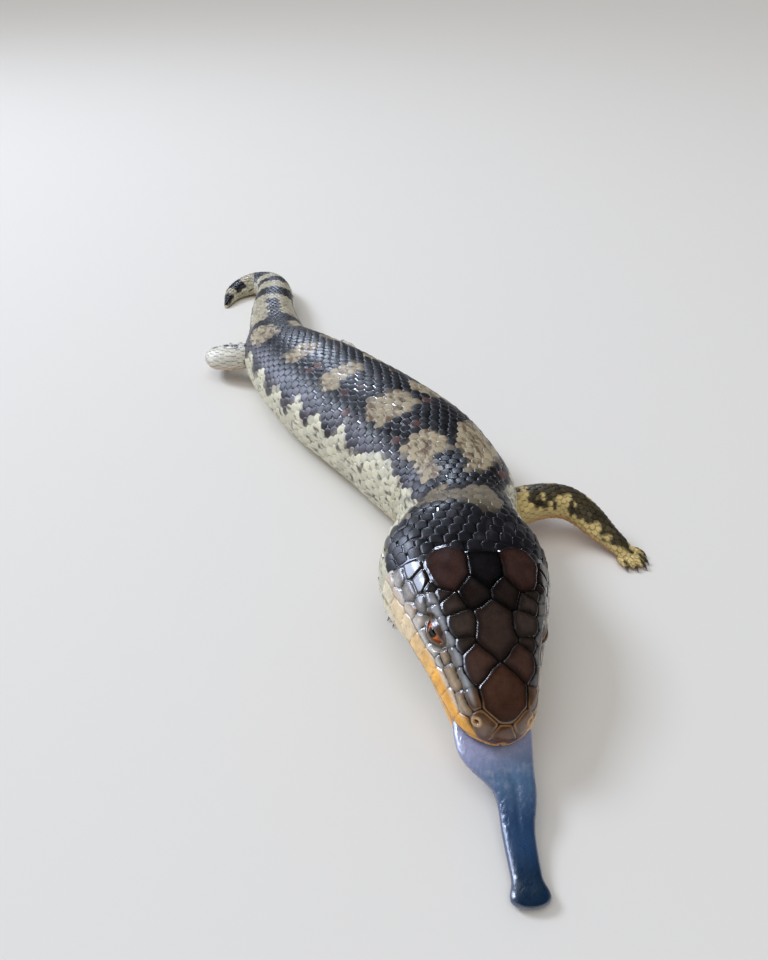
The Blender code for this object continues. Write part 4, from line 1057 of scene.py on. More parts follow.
    def sunk(self, closed: np.ndarray, way: float, around: float, inner: float, outer: float) -> np.ndarray:
        """Share with which each point lies in a pit on either side of the head."""
        places = [self.trunk.head.place(way, turned)[0] for turned in (around, TURN - around)]
        apart = np.min([np.linalg.norm(closed - place, axis=1) for place in places], axis=0)
        return 1 - smooth(apart, inner, outer)

    def eyelids(self, closed: np.ndarray, eye: "EyeForm") -> tuple[np.ndarray, np.ndarray, np.ndarray]:
        """Moves of the head's skin that make lids round the eyes.

        Returns:
            Moves in mm in the head's frame, share of the orbit, and share of the lids' rim.
        """
        move, orbit, rim = np.zeros_like(closed), np.zeros(len(closed)), np.zeros(len(closed))
        for side in Side:
            centre, out, along, up = eye.frame(side)
            apart = closed - centre
            p, q, r = apart @ along, apart @ up, apart @ out
            near = (r > -0.6) & (np.hypot(p, q) < eye.reach)
            share = (1 - smooth(np.hypot(p / eye.orbit[0], q / eye.orbit[1]), 0.8, 1.3)) * near
            lid = eye.radius + eye.lid
            ball = np.sqrt(np.maximum(lid**2 - p**2 - q**2, 0.05))
            half = eye.opening[1] * np.where(q > 0, eye.opening[2], 1.0)
            reach = np.hypot(p / eye.opening[0], q / half)
            ring = bell(reach, 1.2, 0.16) * near
            brow = 0.06 * bell(q, 1.15, 0.4) * bell(p, 0.0, 2.2)
            target = ball + brow + 0.10 * ring - 1.7 * (1 - smooth(reach, 0.7, 1.02))
            move += ((target - r) * share)[:, None] * out
            orbit, rim = np.maximum(orbit, share), np.maximum(rim, ring * (share > 0.3))
        return move, orbit, rim

    def head_relief(
        self, way: np.ndarray, around: np.ndarray, closed: np.ndarray, mouth: np.ndarray,
    ) -> tuple[np.ndarray, np.ndarray]:
        """Height in mm of plates, seams, pits and coat on the head, and the linear colour there, with painted
        highlights on the lip band and the canthal ridge.
        """
        cell, edge, out = self.plates.read(closed)
        tints = self.plates.tints[cell]
        plates = self.plates
        depth = depth_of(around)
        lip = smooth(depth, 1.9, 2.35)
        flat = smooth(edge, 0.0, 2.4 * plates.seam)
        height = (plates.depth + plates.rise) * flat - plates.depth
        height = (height + plates.dome * (1 - np.minimum(out, 1) ** 2) * flat) * (1 - 0.55 * lip)
        mottle = noise(closed, 0.9, 11) + 0.5 * noise(closed, 0.35, 12)
        colour = tints * (1 + 0.22 * mottle)[:, None]
        colour = mixed(colour, 0.36 * colour, (1 - smooth(edge, 0.05, 1.05)) * (1 - lip))
        rim = bell(edge, 0.16, 0.08) * (1 - smooth(way, 1.5, 3.5)) * (1 - lip)
        colour = mixed(colour, Tone.PLATE_RIM.light, 0.6 * rim)
        amber = (1 - smooth(mouth, 0.35, 0.9)) * (1 - smooth(way, 3.0, 6.0))
        colour = mixed(colour, Tone.AMBER.light, amber)
        # Painted sheen: a pale grey band along the top of the upper lip, fading in behind the snout, stands
        # in for the sky's reflection on that slope.
        flank = smooth(way, 1.8, 3.4)
        colour = mixed(colour, Tone.FLANK.light, 0.62 * bell(depth, 2.1, 0.14) * flank)
        # Painted highlight: a pale bluish strip along the canthal ridge, far stronger on the head's right
        # side, stands in for the lamps' glint there.
        crest = bell(depth, 1.13, 0.09) * smooth(way, 2.2, 4.0) * (1 - smooth(way, 13.0, 15.5))
        crest *= 0.1 + 0.42 * smooth(-closed[:, 0], -2.0, 2.0)
        colour = mixed(colour, Tone.CREST.light, crest)
        seam = mixed(Tone.SEAM.light, Tone.LIP_SEAM.light, lip)
        colour = mixed(colour, seam, (1 - smooth(edge, 0.01, 0.09 - 0.03 * lip)) * (1 - 0.35 * lip))
        ridge = bell(depth, 1.2, 0.13) * smooth(way, 2.6, 4.6) * (1 - smooth(way, 14.5, 17.0))
        height = height + 0.24 * ridge
        coat = smooth(plates.coated(closed), -0.05, 0.12)
        points = self.trunk.head.world(closed)
        behind = self.coat_tint(way, around, points)
        nostril = self.sunk(closed, *NOSTRIL, 0.12, 0.36)
        ring = self.sunk(closed, *NOSTRIL, 0.45, 0.75)
        ear = self.sunk(closed, *EAR, 0.5, 1.0)
        height = height * (1 - coat) - COAT_DEPTH / MM * coat + 0.10 * ring - 0.6 * nostril - 1.3 * ear
        colour = mixed(mixed(colour, behind, coat), Tone.NOSTRIL_RING.light, 0.8 * ring)
        return height, mixed(mixed(colour, Tone.NOSTRIL.light, nostril), Tone.EAR.light, ear)

    def coat_tint(self, way: np.ndarray, around: np.ndarray, points: np.ndarray) -> np.ndarray:
        """Colour of the coat anywhere on the trunk, black at the nape and cream under the jaw."""
        colour = self.markings.trunk(way, around % TURN, points)
        depth = depth_of(around)
        border = depth + 0.25 * noise(points, 2.0 * MM, 14)
        nape = (1 - smooth(way, 26.0, 27.6)) * (1 - smooth(border, 1.9, 2.5))
        return mixed(colour, Tone.NAPE.light, nape)

    def build(self, finish: bpy.types.Material, eye: "EyeForm") -> bpy.types.Object:
        """Welds the grids, raises plates and lids, and colours the skin."""
        points, carried, faces, drawn = self.draft.welded()
        closed = carried[:, 2:5]
        way, around, lip, kind = (carried[:, k] for k in (0, 1, 5, 6))
        normals = vertex_normals(points, faces)
        height = np.full(len(points), -COAT_DEPTH / MM)
        tint = np.tile(Tone.MOUTH.light, (len(points), 1))
        head, mouth, trunk, limb = (kind == each.value for each in Part)
        height[head], tint[head] = self.head_relief(way[head], around[head], closed[head], lip[head])
        height[mouth] = 0
        tint[mouth] = mixed(Tone.LIP_EDGE.light, tint[mouth], smooth(lip[mouth], 0.15, 0.7))
        tint[trunk] = self.coat_tint(way[trunk], around[trunk], points[trunk])
        tint[trunk] = self.markings.streaked(tint[trunk], way[trunk], around[trunk])
        for fore in (True, False):
            chosen = limb & ((around > FORE_MARK / 2) == fore)
            tint[chosen] = self.markings.limb(fore, way[chosen], around[chosen] % FORE_MARK, points[chosen])
        height[limb] *= 0.6
        near = np.maximum(0, self.lip_round - lip)
        height -= self.lip_round - np.sqrt(self.lip_round**2 - near**2)
        move, orbit, rim = self.eyelids(closed[head], eye)
        height[head] *= 1 - orbit
        turn = self.trunk.head.matrix()[:3, :3]
        points = points + normals * height[:, None] * MM
        points[head] += move @ turn.T * MM
        tint[head] = mixed(tint[head], Tone.ORBIT.light, 0.75 * orbit)
        tint[head] = mixed(tint[head], Tone.LID_RIM.light, 0.4 * rim)
        points[:, 2] = np.maximum(points[:, 2], 0.02 * MM)
        plan = np.concatenate(self.draft.carried)[:, 7:9][drawn]
        return make_object("skin", points, faces, finish, tint, plan)


@dataclass(frozen=True)
class ScaleShape:
    """One overlapping scale: a closed, domed plate with a rounded free edge."""

    across: tuple[float, ...] = (-1.0, -0.88, -0.6, -0.3, 0.0, 0.3, 0.6, 0.88, 1.0)
    along: tuple[float, ...] = (0.0, 0.34, 0.52, 0.7, 0.84, 0.95, 1.0)
    root: float = 0.16
    rise: float = 0.08
    full_at: float = 0.82
    swell: float = 0.8
    sag: float = 0.07
    side_drop: float = 0.09
    end_drop: float = 0.12
    round_end: float = 0.22

    def template(self) -> tuple[np.ndarray, np.ndarray, np.ndarray, np.ndarray]:
        """Shares across and along, height in mm for a scale of full size, and triangles."""
        u, v = np.meshgrid(self.across, self.along, indexing="ij")
        rows, columns = u.shape
        height = -self.root + (self.root + self.rise) * np.minimum(v / self.full_at, 1) ** self.swell
        height = height - self.sag * u**2 * np.minimum(v / 0.5, 1)
        height = np.where(np.abs(u) == 1, height - self.side_drop, height)
        height = np.where(v == 1, height - self.end_drop, height)
        top = grid_faces(rows, columns)
        ring = np.concatenate([
            np.arange(columns), np.arange(2, rows) * columns - 1,
            np.arange(rows * columns - 1, (rows - 1) * columns - 1, -1), np.arange(rows - 2, 0, -1) * columns,
        ])
        middle = rows * columns
        under = np.stack([np.roll(ring, -1), ring, np.full(len(ring), middle)], -1)
        u, v, height = (
            np.append(each.ravel(), extra) for each, extra in ((u, 0.0), (v, 0.5), (height, -self.root))
        )
        return u, v, height, np.concatenate([top, under])


@dataclass
class Coat:
    """Rows of overlapping scales over a sheet, joined into one mesh."""

    sheet: Sheet
    shape: ScaleShape
    rng: np.random.Generator
    loose: float = 0.0
    patterned: float = 0.72
    overlap: float = 1.55
    full_width: float = 1.65
    spread: float = 1.05
    narrowing: float = 0.12
    set_back: float = 0.42
    raised: float = 0.10 * MM

    def lattice(
        self, first: float, last: float, width: tuple, step: tuple, most: int, least: int = 6,
    ) -> np.ndarray:
        """Staggered places of the scales.

        Args:
            first: Distance of the first ring in mm.
            last: Distance of the last ring in mm.
            width: Keys and values in mm of a scale's width.
            step: Keys and values in mm of the distance between rings.
            most: Greatest count around.
            least: Smallest count around.

        Returns:
            Rows of distance, share of the girth, width in mm and distance to the next ring.
        """
        rows, way, number = [], first, 0
        while way < last:
            pace = float(np.interp(way, *step))
            count = 2 * round(float(self.sheet.girth_at(way)) / float(np.interp(way, *width)) / 2)
            count = int(np.clip(count, least, most))
            share = (np.arange(count) + 0.5 * (number % 2)) / count
            wide = self.sheet.girth_at(way) / count
            rows.append(np.stack(np.broadcast_arrays(way, share, wide, pace), 1))
            way += pace
            number += 1
        return np.concatenate(rows)

    def arrays(
        self, places: np.ndarray, colour: Callable, streaks: Callable, plan: Callable,
        sink: float = COAT_DEPTH,
    ) -> tuple:
        """Works out every scale at its place.

        Args:
            places: Rows from the lattice.
            colour: Function of distance, place around and points that gives linear colours.
            streaks: Function of colours, distance and place around that adds the finer pattern.
            plan: Function of distance and share of the girth that gives the place on the unwrap.
            sink: How deep under the sheet the scales' ground lies, in metres.

        Returns:
            Points, linear colours, unwrap of each corner, and faces.
        """
        u, v, height, faces = self.shape.template()
        size = len(u)
        way, share, wide, pace = (places[:, k:k + 1] for k in range(4))
        first, last = self.sheet.way[[0, -1]]
        jitter = self.rng.normal(size=(len(places), 5))
        jitter = jitter * (1 + 1.2 * (1 - smooth(way, 24.0, 34.0)) * self.loose)
        length = pace * self.overlap * (1 + 0.05 * jitter[:, :1])
        scale = np.clip(wide / self.full_width, 0.4, 1.15) * (1 + 0.10 * jitter[:, 1:2])
        sideways = wide * 0.5 * (self.spread - self.narrowing * v**3) * u + 0.03 * jitter[:, 2:3] * wide
        back = length * v * (1 - self.shape.round_end * np.abs(u) ** 2.4 * v)
        back = back - length * self.set_back + 0.05 * jitter[:, 4:5] * pace
        at = np.clip(way + back, first, last)
        shares = share + sideways / np.maximum(self.sheet.girth_at(way), 0.5)
        points = self.sheet.read(self.sheet.points, at, shares)
        normals = unit(self.sheet.read(self.sheet.normals, at, shares))
        lift = (height * scale + 0.015 * jitter[:, 3:4] * v) * MM - sink + self.raised
        points = points + normals * lift[..., None]
        points[..., 2] = np.maximum(points[..., 2], 0.0)
        around = self.sheet.read(self.sheet.around, at, shares)[..., 0]
        middle = np.clip(way + 0.25 * length, first, last)
        centre = self.sheet.read(self.sheet.points, middle, share)
        centre_around = self.sheet.read(self.sheet.around, middle, share)[..., 0]
        own = colour(at, around, points)
        whole = colour(middle, centre_around, centre) + 0 * own
        tint = streaks(mixed(own, whole, np.full(own.shape[:2], self.patterned)), at, around)
        dark = 1 - smooth(tint.mean((1, 2)), 0.05, 0.2)[:, None]
        shade = 1 + (0.08 + 0.17 * dark) * self.rng.normal(size=(len(places), 1)).clip(-2, 2)
        side = np.abs(u) ** 6 * 0.4 + smooth(v, 0.9, 1.0) * 0.25
        tint = tint * (shade * (1 - side))[..., None]
        index = (np.arange(len(places))[:, None, None] * size + faces[None]).reshape(-1, 3)
        patch = plan(way, share) + 0.0015 * np.stack([v * 2 - 1, u], -1)[None]
        return points.reshape(-1, 3), tint.reshape(-1, 3), patch.reshape(-1, 2)[index], index

    def build(
        self, name: str, places: np.ndarray, colour: Callable, streaks: Callable, finish: bpy.types.Material,
        plan: Callable,
    ) -> list:
        """Makes the scales in joined pieces that keep under the limit of triangles."""
        most = PIECE_LIMIT // len(self.shape.template()[3])
        pieces = []
        for number, start in enumerate(range(0, len(places), most), 1):
            points, tint, patch, faces = self.arrays(places[start:start + most], colour, streaks, plan)
            pieces.append(make_object(f"{name}_{number}", points, faces, finish, tint, patch))
        return pieces


@dataclass(frozen=True)
class EyeForm:
    """Where the eyes sit in the head, in mm of its frame, and how they look."""

    head: HeadForm = field(default_factory=HeadForm)
    way: float = 10.7
    around: float = 1.58
    radius: float = 1.75
    sink: float = 1.68
    lid: float = 0.24
    opening: tuple[float, float, float] = (1.5, 0.54, 0.85)
    orbit: tuple[float, float] = (1.95, 1.3)
    pupil: float = 0.62
    iris: float = 1.5
    cornea: float = 0.07
    reach: float = 3.2

    def frame(self, side: Side) -> tuple[np.ndarray, np.ndarray, np.ndarray, np.ndarray]:
        """Centre of an eyeball and its directions out, back and up."""
        point, out = self.head.place(self.way, self.around if side is Side.LEFT else TURN - self.around)
        along = unit(np.array((0, 1.0, 0)) - out * out[1])
        return point - out * self.sink, out, along, np.cross(out, along) * side.value

    def build(self, side: Side, finish: bpy.types.Material) -> bpy.types.Object:
        """An eyeball as rings round its gaze: pupil, orange iris, dark edge, with a low cornea."""
        centre, out, along, up = self.frame(side)
        fall = np.linspace(0, math.pi, 72)[:, None]
        turn = np.linspace(0, math.tau, 65)[None, :] * side.value
        reach = self.radius + self.cornea * np.exp(-((fall / 0.6) ** 4))
        off = reach * np.sin(fall)
        wide = off + 0 * turn
        steps = np.stack([reach * np.cos(fall) + 0 * turn, off * np.cos(turn), off * np.sin(turn)], -1)
        points = centre + steps @ np.array((out, along, up))
        points[:, -1] = points[:, 0]
        rays = np.stack(np.broadcast_arrays(np.cos(turn) * 9, np.sin(turn) * 9, wide * 2), -1)
        rays = noise(rays, 1.0, 31)
        colour = Tone.IRIS.light * (1 + 0.22 * rays)[..., None]
        colour = mixed(colour, Tone.IRIS_RING.light, 0.6 * bell(wide, self.pupil + 0.1, 0.12))
        colour = mixed(colour, Tone.IRIS_EDGE.light, smooth(wide, self.iris - 0.22, self.iris))
        colour = mixed(colour, Tone.PUPIL.light, 1 - smooth(wide, self.pupil - 0.05, self.pupil + 0.05))
        back = np.broadcast_to(fall > math.pi / 2, wide.shape)
        colour[back] = Tone.EYEBALL.light
        plan = np.stack(np.broadcast_arrays(turn / math.tau * side.value, fall / math.pi), -1)
        grid = (self.head.world(points), colour, plan)
        return welded_object(f"eye_{side.name.lower()}_ball", [grid], finish, flip=True)


@dataclass(frozen=True)
class TongueForm:
    """The broad blue tongue: out over the lower lip, narrow at its bend, round and notched at its end."""

    head: HeadForm = field(default_factory=HeadForm)
    inside: tuple[tuple[float, float], ...] = ((9.0, -0.75), (4.5, -0.9), (0.5, -1.15))
    outside: tuple[tuple[float, float, float], ...] = (
        (13.9, 47.0, 3.2), (13.9, 42.8, 1.8), (14.2, 38.6, 1.0), (14.4, 35.6, 0.95),
    )
    wide: tuple[float, ...] = (3.6, 4.1, 4.4, 2.4, 1.75, 1.6, 3.0)
    thick: tuple[float, ...] = (0.9, 0.95, 0.95, 0.9, 0.9, 0.85, 1.0)
    blunt: float = 2.1
    tip: float = 0.25
    squareness: float = 2.4

    def line(self) -> np.ndarray:
        """The path's points in mm in the plan of the animal."""
        inner = self.head.world(np.array([(0.0, way, high) for way, high in self.inside]))
        return np.vstack([(inner + PLAN_CENTRE) / MM, np.array(self.outside)])

    def build(self, finish: bpy.types.Material) -> bpy.types.Object:
        """Rings of a flattened superellipse along the path, closing in a quarter round at the tip."""
        last = len(self.wide) - 1
        tip = last - self.tip
        at = np.append(np.linspace(0, tip, 170), tip + self.tip * np.sin(np.linspace(0, np.pi / 2, 30))[1:])
        line = spline(self.line(), at)
        way = np.gradient(line, axis=0)
        way[-1] = way[-2]
        way = unit(way)
        side = unit(np.cross((0, 0, 1.0), way))
        up = np.cross(way, side)
        run = measured(line)
        left = np.clip((run[-1] - run) / self.blunt, 0, 1)
        close = np.sqrt(1 - (1 - left) ** 2)
        half = keyed(at, range(last + 1), self.wide) * close
        deep = keyed(at, range(last + 1), self.thick) * close**0.7
        turn = np.linspace(0, math.tau, 97)
        upright, power = np.sin(turn), 2 / self.squareness
        x = half[:, None] * powered(np.cos(turn), power)
        z = deep[:, None] * powered(upright, power)
        inner = 1 - smooth(at, 3.2, 4.4)[:, None]
        groove = 0.18 * inner * bell(x / np.maximum(half[:, None], 0.3), 0.0, 0.16) * (upright > 0)
        z = z * (1 + 0.08 * np.cos(2 * turn)) - groove * close[:, None]
        points = line[:, None] + x[..., None] * side[:, None] + z[..., None] * up[:, None]
        points = np.concatenate([points[:1].mean(1, keepdims=True) + 0 * points[:1], points])
        points[:, -1] = points[:, 0]
        at, up, half, x = (np.concatenate([each[:1], each]) for each in (at, up, half, x))
        fleck = noise(points, 0.5, 41) + 0.5 * noise(points, 0.22, 42)
        bumps = 0.05 * noise(points, 0.26, 43) * (1 - 0.7 * smooth(at, 3.2, 4.4))[:, None]
        points = from_plan(points + bumps[..., None] * up[:, None])
        points[..., 2] = np.maximum(points[..., 2], 0.0)
        place = at[:, None] + 0 * turn
        colour = mixed(Tone.TONGUE_ROOT.light, Tone.TONGUE_MIDDLE.light, smooth(place, 2.0, 2.9))
        colour = mixed(colour, Tone.TONGUE_BLUE.light, smooth(place, 2.7, 3.8))
        colour = mixed(colour, Tone.TONGUE_TIP.light, smooth(place, 4.2, 5.2))
        fleck = 0.22 * smooth(fleck, 0.1, 0.9) * (1 - smooth(place, 2.6, 4.0))
        colour = mixed(colour, Tone.PAPILLA.light, fleck)
        rim = smooth(np.abs(x) / np.maximum(half[:, None], 0.2), 0.72, 1.0)
        colour = mixed(colour, Tone.TONGUE_RIM.light, 0.35 * rim)
        plan = np.stack(np.broadcast_arrays(place / last, turn / math.tau), -1)
        return welded_object("tongue_blue", [(points, colour, plan)], finish, flip=True)


@dataclass(frozen=True)
class LegForm:
    """One leg, its flat palm on the floor and its clawed toes, in mm of the animal's plan."""

    side: Side
    fore: bool
    joints: tuple[tuple[float, float, float], ...]
    sizes: tuple[tuple[float, float], ...]
    heading: float
    palm: float
    half_width: float
    toes: tuple[tuple[float, float], ...]
    claw: float = 0.65

    def directions(self) -> tuple[np.ndarray, np.ndarray, np.ndarray]:
        """The knuckles' middle and the directions forward and across the palm."""
        turn = math.radians(self.heading)
        forward = np.array((math.cos(turn), math.sin(turn), 0))
        knuckle = np.array((*self.joints[2][:2], 0.8)) + forward * self.palm
        return knuckle, forward, np.array((-forward[1], forward[0], 0))

    def tube(self) -> LimbForm:
        """The leg from inside the body to the end of the palm."""
        knuckle, forward, _ = self.directions()
        line = np.array((*self.joints, knuckle + forward * 0.35), float)
        root, knee, ankle = self.sizes
        thigh, shank = (
            tuple(fuller * (a + b) / 2 for a, b in zip(*ends))
            for fuller, ends in ((1.0, (root, knee)), (1.06, (knee, ankle)))
        )
        wide = self.half_width
        sizes = (
            (root[0] * 1.2, root[1] * 1.12), thigh, knee, shank, ankle,
            (wide * 0.93, 1.0), (wide, 0.82), (wide * 0.72, 0.5),
        )
        return LimbForm(line, (0.0, 0.55, 1.0, 1.5, 2.0, 2.5, 2.9, 3.0), sizes, forward)

    def toe_lines(self) -> list[tuple[np.ndarray, np.ndarray]]:
        """Line of each toe in mm and its direction."""
        knuckle, forward, across = self.directions()
        lines = []
        for (angle, length), place in zip(self.toes, np.linspace(-0.75, 0.75, len(self.toes))):
            way = math.radians(angle + self.heading)
            out = np.array((math.cos(way), math.sin(way), 0))
            root = knuckle + across * place * self.half_width - forward * (0.5 + 0.5 * abs(place))
            line = np.array([root, root * 0.45 + (root + out * length) * 0.55, root + out * length])
            line[:, 2] = (0.85, 0.95, 0.6)
            lines.append((line, out))
        return lines

    def toe_tubes(self) -> list[LimbForm]:
        """The toes without their claws, each with a rounded end."""
        sizes = ((0.7, 0.7), (0.66, 0.64), (0.58, 0.56), (0.52, 0.5), (0.3, 0.3))
        keys = (0.0, 0.6, 1.2, 1.85, 2.0)
        return [LimbForm(line, keys, sizes, steps=26, sides=18) for line, _ in self.toe_lines()]

    def claws(self) -> np.ndarray:
        """Rings of the curved claws in metres: toes by rings by 13 by 3."""
        turn = np.linspace(0, math.tau, 13)[None, :, None]
        share = np.linspace(0, 1, 12)
        half, high = (
            keyed(share, (0.0, 0.5, 1.0), row)[:, None] for row in ((0.26, 0.2, 0.03), (0.32, 0.25, 0.04))
        )
        height = keyed(share, (0.0, 0.4, 1.0), (0.72, 0.72, 0.12))
        made = []
        for line, out in self.toe_lines():
            across = np.array((-out[1], out[0], 0))
            middle = line[2] + out * (share * (self.claw + 0.25) - 0.25)[:, None]
            middle[:, 2] = height
            rings = middle[:, None] + np.cos(turn) * (half * across)[:, None]
            rings = rings + np.sin(turn) * (high * np.array((0, 0, 1.0)))[:, None]
            ends = (middle[k] + 0 * rings[:1] for k in (0, -1))
            rings = np.concatenate([next(ends), rings, next(ends)])
            rings[:, -1] = rings[:, 0]
            made.append(from_plan(rings))
        made = np.array(made)
        made[..., 2] = np.maximum(made[..., 2], 0.0)
        return made


LEGS = (
    LegForm(
        Side.LEFT, True, ((15.5, 90.5, 6.0), (27.8, 93.6, 5.7), (35.2, 88.2, 2.0)),
        ((3.2, 3.0), (2.8, 2.5), (1.7, 1.4)), -46, 2.4, 1.75,
        ((-26, 1.9), (-12, 2.6), (0, 3.0), (11, 2.8), (27, 2.1)),
    ),
    LegForm(
        Side.RIGHT, True, ((6.5, 92.5, 4.6), (3.0, 86.0, 2.6), (4.6, 77.0, 1.7)),
        ((2.7, 2.5), (2.3, 2.1), (1.5, 1.3)), -130, 2.2, 1.8,
        ((-27, 2.1), (-11, 2.8), (0, 3.0), (12, 2.6), (26, 1.9)),
    ),
    LegForm(
        Side.RIGHT, False, ((-20.5, 146.5, 5.2), (-34.3, 143.6, 4.8), (-33.2, 153.2, 1.9)),
        ((3.2, 3.0), (2.4, 2.3), (1.5, 1.4)), 105, 2.6, 1.8,
        ((-52, 3.4), (-24, 3.9), (2, 3.4), (28, 2.7), (58, 1.9)),
    ),
    LegForm(
        Side.LEFT, False, ((-19.5, 148.0, 5.2), (-8.6, 146.6, 4.6), (-10.8, 155.0, 1.9)),
        ((3.2, 3.0), (2.4, 2.3), (1.5, 1.4)), 75, 2.6, 1.8,
        ((-58, 1.9), (-28, 2.7), (-2, 3.4), (24, 3.9), (52, 3.4)),
    ),
)


def add_node(
    tree: bpy.types.NodeTree, kind: str, settings: dict | None = None, links: dict | None = None,
) -> bpy.types.Node:
    """Adds a node with its settings and links.

    Args:
        tree: Node tree of a material or world.
        kind: Node type.
        settings: Values of its properties, or of its input sockets where the key names one.
        links: Output socket for each of its input sockets.

    Returns:
        The node.
    """
    node = tree.nodes.new(kind)
    for key, value in (settings or {}).items():
        if isinstance(key, int) or key in node.inputs:
            node.inputs[key].default_value = value
        else:
            setattr(node, key, value)
    for key, output in (links or {}).items():
        tree.links.new(output, node.inputs[key])
    return node


def new_material(name: str) -> bpy.types.Material:
    """A material whose node tree is still empty."""
    made = bpy.data.materials.new(name)
    made.use_nodes = True
    made.node_tree.nodes.clear()
    return made


@dataclass(frozen=True)
class Finish:
    """A surface whose colour is carried by the piece and is varied, glossed and roughened here."""

    name: str
    grain: float
    rough: tuple[float, float]
    vary: float
    relief: float
    coat: float = 0.0
    coat_rough: float = 0.1
    under: float = 0.0
    specular: float = 0.5

    def make(self) -> bpy.types.Material:
        """Builds the material; `grain` and `relief` are in mm."""
        made = new_material(self.name)
        tree = made.node_tree
        place = add_node(tree, "ShaderNodeTexCoord").outputs["Object"]
        carried = add_node(tree, "ShaderNodeAttribute", {"attribute_name": "tint"}).outputs["Color"]
        grain, broad = (
            add_node(
                tree, "ShaderNodeTexNoise", {"Scale": 1 / (size * MM), "Detail": detail, "Roughness": rough},
                {"Vector": place},
            ).outputs["Fac"]
            for size, detail, rough in ((self.grain, 3.0, 0.6), (self.grain * 6, 2.0, 0.5))
        )
        tone, gloss = (
            add_node(
                tree, "ShaderNodeMapRange",
                dict(zip(("From Min", "From Max", "To Min", "To Max"), bounds)), {"Value": value},
            ).outputs["Result"]
            for value, bounds in (
                (grain, (0.25, 0.75, 1 - self.vary, 1 + self.vary)), (broad, (0.3, 0.7, *self.rough)),
            )
        )
        colour = add_node(
            tree, "ShaderNodeVectorMath", {"operation": "MULTIPLY"}, {0: carried, 1: tone},
        ).outputs["Vector"]
        bump = add_node(
            tree, "ShaderNodeBump", {"Strength": 1.0, "Distance": self.relief * MM}, {"Height": grain},
        ).outputs["Normal"]
        shader = add_node(
            tree, "ShaderNodeBsdfPrincipled",
            {
                "Coat Weight": self.coat, "Coat Roughness": self.coat_rough, "Subsurface Weight": self.under,
                "Subsurface Radius": (1.0, 0.5, 0.3), "Subsurface Scale": 0.6 * MM,
                "Specular IOR Level": self.specular,
            },
            {"Base Color": colour, "Roughness": gloss, "Normal": bump},
        )
        add_node(tree, "ShaderNodeOutputMaterial", None, {"Surface": shader.outputs["BSDF"]})
        return made


# Keratin over living skin: smooth and polished on the head's plates, a little drier behind.
SKIN = Finish("keratin_plates", 0.35, (0.18, 0.34), 0.14, 0.012, coat=0.6, coat_rough=0.08, under=0.04)
# Overlapping bony scales under thin keratin: satin with a sharp sheen on each curve.
SCALES = Finish("keratin_scales", 0.30, (0.32, 0.5), 0.12, 0.010, coat=0.08, coat_rough=0.2, specular=0.28)
# Wet muscle with fine papillae: the water film gives small bright glints.
TONGUE = Finish("wet_tongue", 0.16, (0.25, 0.42), 0.14, 0.03, coat=0.8, coat_rough=0.07, under=0.1)
# Cornea over the iris: the film of tears mirrors the lights.
EYE = Finish("wet_cornea", 0.2, (0.06, 0.10), 0.05, 0.001, coat=0.35, coat_rough=0.02, specular=0.3)
# Horn of the claws: dark, translucent at the tip, polished by use.
CLAW = Finish("horn_claws", 0.25, (0.25, 0.4), 0.2, 0.008, coat=0.3, coat_rough=0.12)


